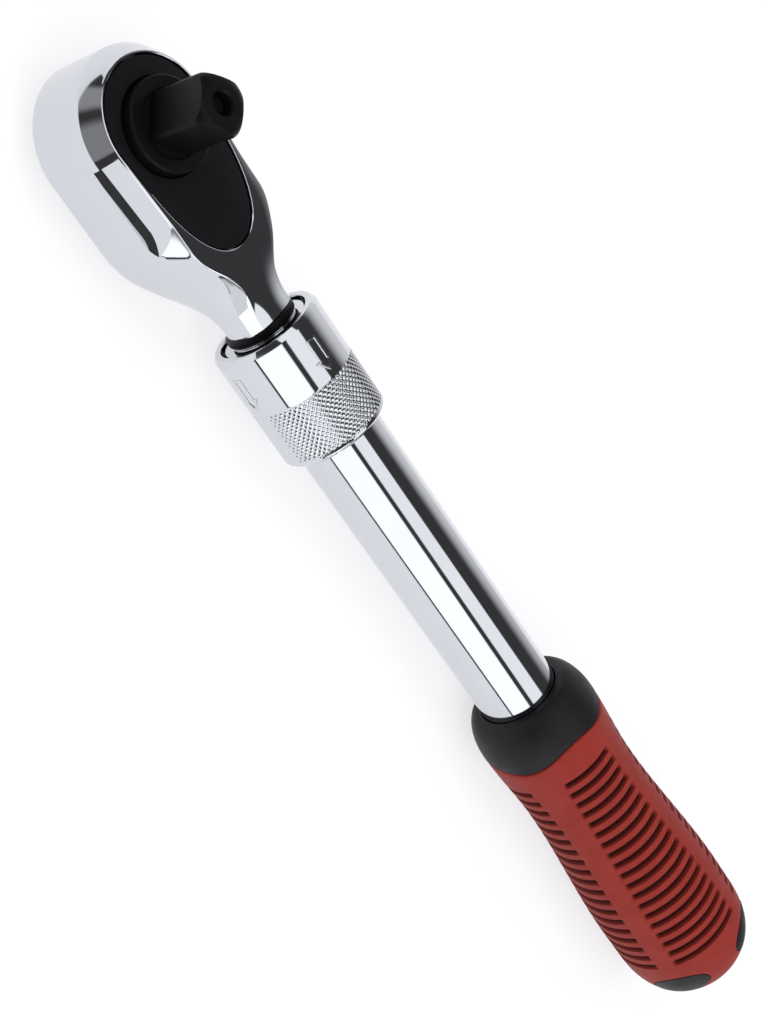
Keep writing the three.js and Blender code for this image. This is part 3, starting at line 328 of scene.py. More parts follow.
def lofted(loops: Sequence[Loop], caps: bool = True) -> Solid:
    """Extrudes a closed loop through further loops of as many points.

    Args:
        loops: The sections, in order.
        caps: Whether the ends are closed. A loft that comes back to its first loop needs none.

    Returns:
        The closed solid.
    """
    bm = bmesh.new()
    edges = chain(bm, loops[0], closed=True)
    ring = [e.verts[0] for e in edges]
    first = list(edges)
    for loop in loops[1:]:
        before = {v: i for i, v in enumerate(ring)}
        made = bmesh.ops.extrude_edge_only(bm, edges=edges)["geom"]
        edges = [g for g in made if isinstance(g, bmesh.types.BMEdge) and not any(v in before for v in g.verts)]
        fresh: list[bmesh.types.BMVert | None] = [None] * len(ring)
        for vert in (g for g in made if isinstance(g, bmesh.types.BMVert)):
            source = next(e.other_vert(vert) for e in vert.link_edges if e.other_vert(vert) in before)
            fresh[before[source]] = vert
        ring = fresh
        for vert, point in zip(ring, loop):
            vert.co = point
    for end in (first, edges) if caps else ():
        bmesh.ops.edgeloop_fill(bm, edges=end)
    return clean(bm)


def prism(outline: Sequence[Point2], low: float, high: float) -> Solid:
    """Raises a plan outline from one height to another."""
    return lofted([[Vector((x, y, z)) for x, y in outline] for z in (low, high)])


def block(low: Corner, high: Corner) -> Solid:
    """Makes a box between two corners."""
    bm = bmesh.new()
    middle = (Vector(low) + Vector(high)) / 2
    size = Vector(high) - Vector(low)
    bmesh.ops.create_cube(bm, size=1, matrix=Matrix.Translation(middle) @ Matrix.Diagonal((*size, 1)))
    return bm


def cylinder(radius: float, low: float, high: float, x: float = 0.0, steps: int = 96) -> Solid:
    """Makes an upright cylinder on the plane of the handle and the drive."""
    bm = bmesh.new()
    place = Matrix.Translation((x, 0, (low + high) / 2))
    bmesh.ops.create_cone(bm, cap_ends=True, segments=steps, radius1=radius, radius2=radius, depth=high - low,
                          matrix=place)
    return bm


def arc(centre: Point2, radii: Point2, start: float, end: float, steps: int) -> list[Point2]:
    """Gives points on an elliptical arc, angles in degrees."""
    angles = [math.radians(lerp(start, end, i / steps)) for i in range(steps + 1)]
    return [(centre[0] + radii[0] * math.cos(a), centre[1] + radii[1] * math.sin(a)) for a in angles]


def inset(outline: Sequence[Point2], distance: float) -> list[Vector]:
    """Takes in a closed outline that runs counter-clockwise, with its corners kept sharp."""
    points = [Vector(p) for p in outline]
    moved = []
    for before, here, after in zip(points[-1:] + points[:-1], points, points[1:] + points[:1]):
        first, second = ((end - begin).normalized().orthogonal() for begin, end in ((before, here), (here, after)))
        moved.append(here + (first + second) * distance / (1 + first.dot(second)))
    return moved


def move(bm: Solid, matrix: Matrix) -> Solid:
    """Moves a whole mesh."""
    bmesh.ops.transform(bm, matrix=matrix, verts=bm.verts)
    return bm


class Cut(Enum):
    """How two solids are combined."""

    TAKE = "DIFFERENCE"
    JOIN = "UNION"
    KEEP = "INTERSECT"


def combine(first: Solid, second: Solid, how: Cut) -> Solid:
    """Cuts, joins or intersects two closed solids.

    Args:
        first: The solid that is changed. It is freed.
        second: The other solid. It is freed.
        how: The way of combining.

    Returns:
        The combined solid.
    """
    objects = []
    for bm in (first, second):
        mesh = bpy.data.meshes.new("combine")
        bm.to_mesh(mesh)
        bm.free()
        thing = bpy.data.objects.new("combine", mesh)
        bpy.context.scene.collection.objects.link(thing)
        objects.append(thing)
    modifier = objects[0].modifiers.new("combine", "BOOLEAN")
    modifier.operation = how.value
    modifier.solver = "MANIFOLD"
    modifier.object = objects[1]
    graph = bpy.context.evaluated_depsgraph_get()
    result = bmesh.new()
    result.from_object(objects[0], graph)
    for thing in objects:
        mesh = thing.data
        bpy.data.objects.remove(thing)
        bpy.data.meshes.remove(mesh)
    bmesh.ops.remove_doubles(result, verts=result.verts, dist=1e-4)
    return result


def piece(name: str, bm: Solid, finish: Finish, body: Body, node: str | None = None,
          sharp: float = 30.0) -> bpy.types.Object:
    """Makes a finished piece from a mesh in the tool's millimetres.

    Args:
        name: The piece's name.
        bm: Its shape. It is freed.
        finish: Its surface.
        body: The body that it rides on.
        node: The node that it stands for.
        sharp: Edges that turn by more degrees than this stay sharp.

    Returns:
        The object.
    """
    move(bm, TO_ROW)
    mesh = bpy.data.meshes.new(name)
    bm.to_mesh(mesh)
    bm.free()
    mesh.shade_smooth()
    mesh.set_sharp_from_angle(angle=math.radians(sharp))
    mesh.materials.append(finish.material())
    thing = bpy.data.objects.new(name, mesh)
    bpy.context.scene.collection.objects.link(thing)
    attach(thing, body.value)
    if node:
        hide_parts(node)
    LOG.info("%s: %d faces on %s", name, len(mesh.polygons), body.value)
    return thing


def dress_node(node: str, finish: Finish) -> None:
    """Gives a node that stays its finish."""
    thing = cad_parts[node]
    thing.data.materials.clear()
    thing.data.materials.append(finish.material())


# Sub-assemblies


@dataclass
class Head:
    """Forged head with its neck and grooved bar, and the plate that closes it."""

    half_width: float = 20.4
    top: float = 13.1
    front_shift: float = 2.2
    side_end: float = 19.0
    rim_half_width: float = 16.85
    rim_neck: float = 6.6
    rim_taper: float = 3.0
    rim_sweep: Point2 = (27.0, 48.0)
    foot_inset: float = 0.15
    foot_z: float = 7.2
    foot_neck_z: float = 5.4
    crease: Point2 = (33.0, 55.0)
    crease_bulge: float = 0.75
    crown: float = 1.3
    back_round: float = 3.2
    neck_x: float = 54.4
    neck_end: float = 56.6
    neck_radius: float = 9.3
    recess_half_width: float = 16.1
    recess_rear: float = 34.8
    recess_taper: float = 6.0
    recess_bend: float = 12.0
    recess_pulls: Point2 = (12.1, 9.0)
    ledge: float = 10.6
    flat_start: float = -1.8
    flat_end: Corner = (17.5, 26.0, 4.2)  # where the flat starts to bend outwards, where it ends, and how far out
    bead: Point2 = (57.2, 59.0)
    bead_radius: float = 10.3
    bar_radius: float = 8.0
    bar_flat: float = 7.2
    bar_end: float = 248.0
    first_groove: float = 65.8
    groove_pitch: float = 23.0
    grooves: int = 7
    groove_depth: float = 1.2
    pocket_radius: float = 14.4
    pocket_floor: float = -6.9
    pawl_x: float = 19.9
    lever_x: float = 28.5
    groove_halves: Point2 = (0.9, 2.4)
    spigot: Point2 = (233.8, 6.0)
    clip_groove: Corner = (244.1, 245.7, 5.2)
    swing_half_width: float = 13.8
    swing_radius: float = 19.4
    channel_half_width: float = 4.6
    stem_pocket: float = 4.8
    stem_bore: float = 3.5
    journal_bore: float = 9.3
    journal_floor: float = -10.9
    button_bore: float = 5.5
    pin_hole: float = 2.1
    pin_floor: float = -9.4
    plate_z: Point2 = (10.9, 12.9)
    plate_opening: float = 12.5

    def level(self, x: float) -> float:
        """Goes from 1 at the sides to 0 at the neck, as the plan sweeps in."""
        return 1 - ease((x - self.side_end) / (self.neck_x - self.side_end))

    def half_section(self, x: float) -> list[Point2]:
        """Gives the right half of the section at a place along the handle, from top to back."""
        level = self.level(x)
        width = lerp(self.neck_radius, self.half_width, level)
        drop = self.recess_rear + 2
        height = lerp(self.top, self.neck_radius, ease((x - drop) / (self.neck_x - drop)))
        along = min(max(x, -self.front_shift), self.side_end) + self.front_shift
        side = self.rim_half_width - along * math.tan(math.radians(self.rim_taper))
        sweep_start, sweep_end = self.rim_sweep
        rim = lerp(side, self.rim_neck, ease((x - sweep_start) / (sweep_end - sweep_start)))
        foot = (width - self.foot_inset, lerp(self.foot_neck_z, self.foot_z, level))
        crown = self.crown * ease((x - self.recess_rear - 3) / (self.neck_x - self.recess_rear - 3))
        points = [((rim - 0.4) * i / 6, height - crown * (i / 6) ** 2) for i in range(7)]
        edge = height - crown
        points += [(rim - 0.2, edge - 0.03), (rim - 0.03, edge - 0.12), (rim + 0.1, edge - 0.3)]
        begin = points[-1]
        opened = ease((x - self.crease[0]) / (self.crease[1] - self.crease[0]))
        share = lerp(0.06, 0.97, opened)
        bulge = self.crease_bulge * 4 * opened * (1 - opened)
        bend = (lerp(begin[0], foot[0], share) + 0.8 * bulge, lerp(begin[1], foot[1], share) + 0.6 * bulge)
        swell = 0.09 * (1 - opened)
        for start, end, rise in ((begin, bend, 0.0), (bend, foot, swell)):
            for t in (i / 7 for i in range(1, 8)):
                out = rise * 4 * t * (1 - t)
                points.append((lerp(start[0], end[0], t) + 0.86 * out, lerp(start[1], end[1], t) + 0.5 * out))
        wall = foot[1] - 0.9
        points += [(width - 0.04, lerp(foot[1], wall, 0.5)), (width, wall)]
        back = self.back_round
        base = -height + back * height / self.top
        points += [(width, lerp(wall, base, i / 6)) for i in range(1, 6)]
        reach = back * width / self.half_width
        points += arc((width - reach, base), (reach, height + base), 0, -90, 8)
        points += [((width - reach) * i / 6, -height) for i in range(5, -1, -1)]
        roundness = ease((x - self.lever_x + 2) / (self.neck_x - self.lever_x + 2))
        section = []
        for y, z in points:
            size = math.hypot(y / width, z / height)
            stretch = lerp(1, 1 / size, roundness * ease((wall - z) / 4)) if size > 0 else 1.0
            section.append((y * stretch, z * stretch))
        return section

    def forging(self) -> Solid:
        """Builds the head and neck: a turned front, then sections that sweep into the neck."""
        front = bmesh.new()
        edges = chain(front, [Vector((0, y, z)) for y, z in self.half_section(-self.front_shift)], closed=False)
        bmesh.ops.spin(front, geom=list(front.verts) + edges, cent=(0, 0, 0), axis=(0, 0, 1), angle=math.pi,
                       steps=56, use_merge=False, use_duplicate=False)
        move(front, Matrix.Translation((-self.front_shift, 0, 0)))
        places = [-self.front_shift, 2.0, 6.0, 10.0, 14.0, 17.0]
        places += [lerp(self.side_end, self.neck_x, i / 60) for i in range(61)] + [self.neck_end]
        loops = []
        for x in places:
            half = self.half_section(x)
            closed = [*half, *[(-y, z) for y, z in half[-2:0:-1]]]
            loops.append([Vector((x, y, z)) for y, z in closed])
        rear = lofted(loops)
        rear_mesh = bpy.data.meshes.new("rear")
        rear.to_mesh(rear_mesh)
        rear.free()
        front.from_mesh(rear_mesh)
        bpy.data.meshes.remove(rear_mesh)
        bmesh.ops.remove_doubles(front, verts=front.verts, dist=1e-3)
        inner = [f for f in front.faces if all(abs(v.co.x + self.front_shift) < 1e-3 for v in f.verts)]
        bmesh.ops.delete(front, geom=inner, context="FACES_ONLY")
        return clean(front)

    def side_flat(self, side: int) -> Solid:
        """Gives the cutter of the flat that is milled below the rim, on one side."""
        profile = [(16.9, 13.2), (16.9, 13.1), (18.55, 6.9), (20.6, 5.75), (26.0, 5.75), (26.0, 13.2)]
        fall = math.tan(math.radians(self.rim_taper))
        bend, end, rise = self.flat_end
        loops = []
        for x in (self.flat_start, *(lerp(bend, end, i / 16) for i in range(17))):
            shift = rise * ((x - bend) / (end - bend)) ** 2 if x > bend else 0.0
            shift -= (min(x, self.side_end) - self.flat_start) * fall
            loops.append([Vector((x, side * (y + shift), z)) for y, z in profile])
        return lofted(loops)

    def bar(self) -> Solid:
        """Builds the neck's bead and the bar with its lock grooves and flats."""
        start, end = self.bead
        radius, depth = self.bar_radius, self.groove_depth
        bottom, mouth = self.groove_halves
        seat, spigot = self.spigot
        clip_start, clip_end, clip_radius = self.clip_groove
        corners = [(self.neck_x - 1.5, 0, 0), (self.neck_x - 1.5, self.neck_radius - 0.5, 0),
                   (start - 0.9, self.neck_radius - 0.5, 0.2), (start - 0.4, self.bead_radius, 0.5),
                   (end, self.bead_radius, 0.6), (end, radius, 0.2)]
        for k in range(self.grooves):
            x = self.first_groove + k * self.groove_pitch
            corners += [(x - mouth, radius, 0.3), (x - bottom, radius - depth, 0.4), (x + bottom, radius - depth, 0.4),
                        (x + mouth, radius, 0.3)]
        corners += [(seat, radius, 0.3), (seat, spigot, 0), (clip_start, spigot, 0), (clip_start, clip_radius, 0),
                    (clip_end, clip_radius, 0), (clip_end, spigot, 0), (self.bar_end, spigot, 0.4),
                    (self.bar_end, 0, 0)]
        bm = spun(rounded(corners, 4))
        for vert in bm.verts:
            if vert.co.x > end + 0.1:
                vert.co.y = min(max(vert.co.y, -self.bar_flat), self.bar_flat)
        return bm

    def recess_outline(self, margin: float = 0.0) -> list[Point2]:
        """Gives the plan of the plate's recess, grown by a margin."""
        half = self.recess_half_width + margin
        taper = math.radians(self.recess_taper)
        fall = math.tan(taper)
        bend_y = half / math.cos(taper) - (self.recess_bend + self.front_shift) * fall
        pull, tip = self.recess_pulls[0], self.recess_pulls[1] + margin
        rear = self.recess_rear + margin
        front = arc((-self.front_shift, 0), (half, half), 90 - self.recess_taper, 270 + self.recess_taper, 72)
        frame_points = [(self.recess_bend, -bend_y), (self.recess_bend + pull, pull * fall - bend_y),
                        (rear, -tip), (rear, 0.0)]
        bend = []
        for i in range(41):
            t = i / 40
            weights = ((1 - t) ** 3, 3 * (1 - t) ** 2 * t, 3 * (1 - t) * t**2, t**3)
            bend.append((sum(w * p[0] for w, p in zip(weights, frame_points)),
                         sum(w * p[1] for w, p in zip(weights, frame_points))))
        return front + bend + [(x, -y) for x, y in bend[-2::-1]]

    def stack(self, rims: Sequence[Point2]) -> Solid:
        """Lofts the recess outline through pairs of margin and height."""
        return lofted([[Vector((x, y, z)) for x, y in self.recess_outline(margin)] for margin, z in rims])

    def pockets(self) -> list[Solid]:
        """Gives the cutters of the recess, the pockets, the bores and the side flats."""
        below, floor, roof = -self.top - 2, self.pocket_floor, self.ledge + 1
        mouth = [(0.0, self.ledge), (0.0, self.top - 0.5), (0.03, self.top - 0.32), (0.1, self.top - 0.16),
                 (0.22, self.top - 0.05), (0.42, self.top + 0.03), (0.42, self.top + 2)]
        reach, half = self.swing_radius, self.swing_half_width
        swing = combine(block((0, -half, floor), (reach, half, roof)), cylinder(reach, floor, roof), Cut.KEEP)
        return [
            self.stack(mouth),
            cylinder(self.pocket_radius, floor, roof),
            swing,
            block((0, -self.channel_half_width, floor), (self.lever_x, self.channel_half_width, roof)),
            cylinder(self.stem_pocket, floor, roof, self.lever_x),
            cylinder(self.stem_bore, below, floor + 1, self.lever_x),
            cylinder(self.journal_bore, self.journal_floor, floor + 1),
            cylinder(self.button_bore, below, self.journal_floor + 0.4),
            cylinder(self.pin_hole, self.pin_floor, floor + 1, self.pawl_x),
            self.side_flat(1),
            self.side_flat(-1),
        ]

    def plate(self) -> Solid:
        """Builds the cover plate with a rounded upper edge and the hub's opening."""
        low, high = self.plate_z
        rims = [(-0.3, low), (-0.3, high - 0.35), (-0.34, high - 0.2), (-0.45, high - 0.08), (-0.65, high)]
        radius = self.plate_opening
        opening = spun(rounded([(low - 1, 0, 0), (low - 1, radius, 0), (high - 0.3, radius, 0.2),
                                (high + 0.4, radius + 0.7, 0), (high + 0.4, 0, 0)]), 128, "Z")
        return combine(self.stack(rims), opening, Cut.TAKE)

    def build(self) -> None:
        """Builds and dresses the head's pieces."""
        body = combine(self.forging(), self.bar(), Cut.JOIN)
        for cutter in self.pockets():
            body = combine(body, cutter, Cut.TAKE)
        forging = piece("head_forging", body, CHROME, Body.HEAD, "head_body", 20)
        # Painted reflection: the bead's band gets the black-oxide finish in a second slot, standing in for the dark
        # that the chrome bead mirrors.
        forging.data.materials.append(BLACK_OXIDE.material())
        low, high = ((TO_ROW @ Vector((x, 0, 0))).x for x in (self.bead[0] - 0.7, self.bead[1] + 0.2))
        for face in forging.data.polygons:
            if low < face.center.x < high:
                face.material_index = 1
        piece("head_cover_plate", self.plate(), BLACK_PLATE, Body.HEAD, "cover_plate")
        for node in ("pawl_pin", "bar_stop", "bar_stop_clip", "pawl"):
            dress_node(node, GROUND_STEEL)


@dataclass
class Drive:
    """Gear with hub and square, and the quick release inside it."""

    square: float = 12.7
    corner_radius: float = 1.15
    shoulder: float = 16.1
    end: float = 35.7
    end_round: float = 3.2
    end_inset: float = 3.6
    turn: float = 40.4
    hub_radius: float = 12.2
    gear_radius: float = 14.1
    teeth: int = 36
    tooth_depth: float = 1.2
    gear_low: float = -6.6
    gear_high: float = 10.6
    journal_low: float = -10.6
    journal_radius: float = 9.0
    pin_radius: float = 2.6
    button_radius: float = 5.2
    detent_z: float = 25.9
    detent_out: float = 5.15
    detent_radius: float = 2.2
    detent_hole: float = 2.35
    button_bore: float = 5.5
    pin_bore: float = 2.9
    button_end: float = -14.5
    pin_end: float = 32.9
    pin_waist: float = 1.55
    coil_seat: float = -1.3
    coil_length: float = 9.0
    press: float = 2.5

    def gear(self) -> Solid:
        """Builds the toothed rim."""
        pitch = 2 * math.pi / self.teeth
        root = self.gear_radius - self.tooth_depth
        outline = []
        for tooth in range(self.teeth):
            for radius, along in ((self.gear_radius, -0.1), (self.gear_radius, 0.1), (root, 0.4), (root, 0.6)):
                angle = (tooth + along) * pitch
                outline.append((radius * math.cos(angle), radius * math.sin(angle)))
        return prism(outline, self.gear_low, self.gear_high)

    def square_bar(self) -> Solid:
        """Builds the square with its rounded corners and its turned, rounded end."""
        half = self.square / 2
        inner = half - self.corner_radius
        outline = []
        for k, (sx, sy) in enumerate(((1, 1), (-1, 1), (-1, -1), (1, -1))):
            radii = (self.corner_radius, self.corner_radius)
            outline += arc((sx * inner, sy * inner), radii, 90 * k, 90 * k + 90, 8)
        bar = prism(outline, self.gear_high - 1, self.end + 1)
        corner = inner * math.sqrt(2) + self.corner_radius
        blank = [(self.gear_high - 2, 0), (self.gear_high - 2, self.square), (self.end - self.end_round, self.square)]
        for k in range(13):
            angle = k / 12 * math.pi / 2
            along = self.end - self.end_round * (1 - math.sin(angle))
            blank.append((along, corner - self.end_inset * (1 - math.cos(angle))))
        blank.append((self.end, 0))
        return combine(bar, spun(blank, 128, "Z"), Cut.KEEP)

    def body(self) -> Solid:
        """Builds gear, journal, hub and square as one solid, with its bores."""
        hub = self.hub_radius
        turned = spun(rounded([(self.journal_low, 0, 0), (self.journal_low, self.journal_radius, 0.3),
                               (self.gear_low, self.journal_radius, 0.1), (self.gear_low, hub, 0),
                               (self.shoulder, hub, 0.7), (self.shoulder, 8.9, 0.5), (self.shoulder - 0.35, 8.5, 0),
                               (self.shoulder - 0.35, 0, 0)]), 128, "Z")
        solid = combine(combine(turned, self.gear(), Cut.JOIN), self.square_bar(), Cut.JOIN)
        below, step, bore = self.journal_low - 1, self.coil_seat + 0.3, self.pin_bore
        mouth = spun([(below, 0), (below, self.button_bore), (step, self.button_bore), (step, bore),
                      (self.end - 0.6, bore), (self.end + 0.4, bore + 0.8), (self.end + 0.4, 0)], 64, "Z")
        hole = move(cylinder(self.detent_hole, 0, self.square, 0, 48), Matrix.Rotation(math.pi / 2, 4, "Y"))
        move(hole, Matrix.Translation((0, 0, self.detent_z)))
        solid = combine(combine(solid, mouth, Cut.TAKE), hole, Cut.TAKE)
        return move(solid, Matrix.Rotation(math.radians(self.turn), 4, "Z"))

    def pin(self) -> Solid:
        """Builds the release pin with its waist and its button."""
        waist = self.detent_z - 2.5
        radius, button = self.pin_radius, self.button_radius
        low, high, thin = self.button_end, self.pin_end, self.pin_waist
        return spun(rounded([(low, 0, 0), (low + 0.2, 3.2, 1.2), (low, 4.2, 0.4), (low, button, 0.8),
                             (self.journal_low, button, 0.3), (self.journal_low, radius, 0.2),
                             (waist - 2.3, radius, 0.3), (waist - 0.75, thin, 0.3), (waist + 0.75, thin, 0.3),
                             (waist + 2.3, radius, 0.3), (high, radius, 0.6), (high, 0, 0)]), 64, "Z")

    def build(self) -> None:
        """Builds and dresses the drive's pieces."""
        piece("square_drive", self.body(), BLACK_OXIDE, Body.DRIVE, "drive_gear", 28)
        piece("release_button", self.pin(), BLACK_OXIDE, Body.RELEASE, "release_pin")
        turn = math.radians(self.turn)
        centre = Vector((self.detent_out * math.cos(turn), self.detent_out * math.sin(turn), self.detent_z))
        piece("detent_bearing", ball(self.detent_radius, centre), GROUND_STEEL, Body.DETENT,
              "detent_ball")
        seat = self.coil_seat
        coil = move(spring(4.05, 0.4, 4, self.coil_length), Matrix.Translation((0, 0, seat - self.coil_length)))
        coil_piece = piece("release_coil", coil, GROUND_STEEL, Body.DRIVE, "release_spring")
        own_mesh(coil_piece)


def ball(radius: float, centre: Vector) -> Solid:
    """Makes a ball."""
    bm = bmesh.new()
    bmesh.ops.create_uvsphere(bm, u_segments=40, v_segments=24, radius=radius, matrix=Matrix.Translation(centre))
    return bm


def spring(mean_radius: float, wire_radius: float, curls: int, length: float) -> Solid:
    """Winds a round wire about the Z axis, standing on z = 0.

    Args:
        mean_radius: Axis to the middle of the wire.
        wire_radius: Half the wire's thickness.
        curls: Number of turns.
        length: Height of the whole spring.

    Returns:
        The spring, closed at both ends.
    """
    bm = bmesh.new()
    place = Matrix.Translation((mean_radius, 0, wire_radius)) @ Matrix.Rotation(math.pi / 2, 4, "X")
    bmesh.ops.create_circle(bm, cap_ends=True, segments=12, radius=wire_radius, matrix=place)
    steps = 40 * curls
    rise = (length - 2 * wire_radius) / steps
    bmesh.ops.spin(bm, geom=list(bm.verts) + list(bm.edges) + list(bm.faces), cent=(0, 0, 0), axis=(0, 0, 1),
                   dvec=(0, 0, rise), angle=2 * math.pi * curls, steps=steps, use_merge=False, use_duplicate=False)
    bmesh.ops.holes_fill(bm, edges=[e for e in bm.edges if e.is_boundary], sides=0)
    return clean(bm)


@dataclass
class Lever:
    """Reversing lever on the head's back, with its plunger, spring and clip."""

    x: float = 28.5
    rest: float = 20.0
    disc_radius: float = 8.0
    reach: float = 12.5
    thumb_radius: float = 4.8
    top: float = -13.4
    thickness: float = 3.4
    stem_radius: float = 3.2
    stem_top: float = 10.6
    ridges: int = 3
    ridge_pitch: float = 2.6
    clip_groove: Corner = (-6.9, -5.5, 2.4)
    bore: Corner = (-6.4, 2.3, 1.3)
    bore_z: float = 2.4

    def placed(self, bm: Solid) -> Solid:
        """Swings a mesh to the rest position and brings it to the stem."""
        return move(bm, Matrix.Translation((self.x, 0, 0)) @ Matrix.Rotation(math.radians(self.rest), 4, "Z"))

    def outline(self, margin: float) -> list[Point2]:
        """Gives the plan of the lever, taken in by a margin."""
        disc, thumb = self.disc_radius - margin, self.thumb_radius - margin
        touch = math.degrees(math.acos((disc - thumb) / self.reach))
        hub = arc((0, 0), (disc, disc), touch, 360 - touch, 48)
        return hub + arc((self.reach, 0), (thumb, thumb), -touch, touch, 28)

    def body(self) -> Solid:
        """Builds the lever with rounded edges, thumb ridges, stem and plunger bore."""
        low = self.top - self.thickness
        rims = [(0.25, self.top), (0.0, self.top - 0.25), (0.0, low + 0.9), (0.12, low + 0.5), (0.4, low + 0.18),
                (0.9, low)]
        solid = lofted([[Vector((x, y, z)) for x, y in self.outline(margin)] for margin, z in rims])
        radius = self.stem_radius
        clip_low, clip_high, clip_radius = self.clip_groove
        stem = spun(rounded([(low + 1, 0, 0), (low + 1, radius, 0), (clip_low, radius, 0.1), (clip_low, clip_radius, 0),
                             (clip_high, clip_radius, 0), (clip_high, radius, 0.1), (self.stem_top, radius, 0.4),
                             (self.stem_top, 0, 0)]), 48, "Z")
        solid = combine(solid, stem, Cut.JOIN)
        for k in range(self.ridges):
            x = self.reach + (k - (self.ridges - 1) / 2) * self.ridge_pitch
            rounded_bar = spun(rounded([(-3.2, 0, 0), (-3.2, 0.9, 0.6), (3.2, 0.9, 0.6), (3.2, 0, 0)]), 24)
            move(rounded_bar, Matrix.Translation((x, 0, low - 0.3)) @ Matrix.Rotation(math.pi / 2, 4, "Z"))
            solid = combine(solid, rounded_bar, Cut.JOIN)
        start, end, radius = self.bore
        bore = move(cylinder(radius, start, end, 0, 24), Matrix.Rotation(math.pi / 2, 4, "Y"))
        move(bore, Matrix.Translation((0, 0, self.bore_z)))
        return self.placed(combine(solid, bore, Cut.TAKE))

    def build(self) -> None:
        """Builds and dresses the lever's pieces."""
        piece("reversing_thumb_lever", self.body(), BLACK_OXIDE, Body.LEVER, "reversing_lever", 28)
        coil = spring(0.85, 0.15, 3, 2.6)
        move(coil, Matrix.Translation((-0.6, 0, self.bore_z)) @ Matrix.Rotation(math.pi / 2, 4, "Y"))
        piece("plunger_coil", self.placed(coil), GROUND_STEEL, Body.LEVER, "lever_spring")
        for node in ("lever_plunger", "lever_clip"):
            dress_node(node, GROUND_STEEL)


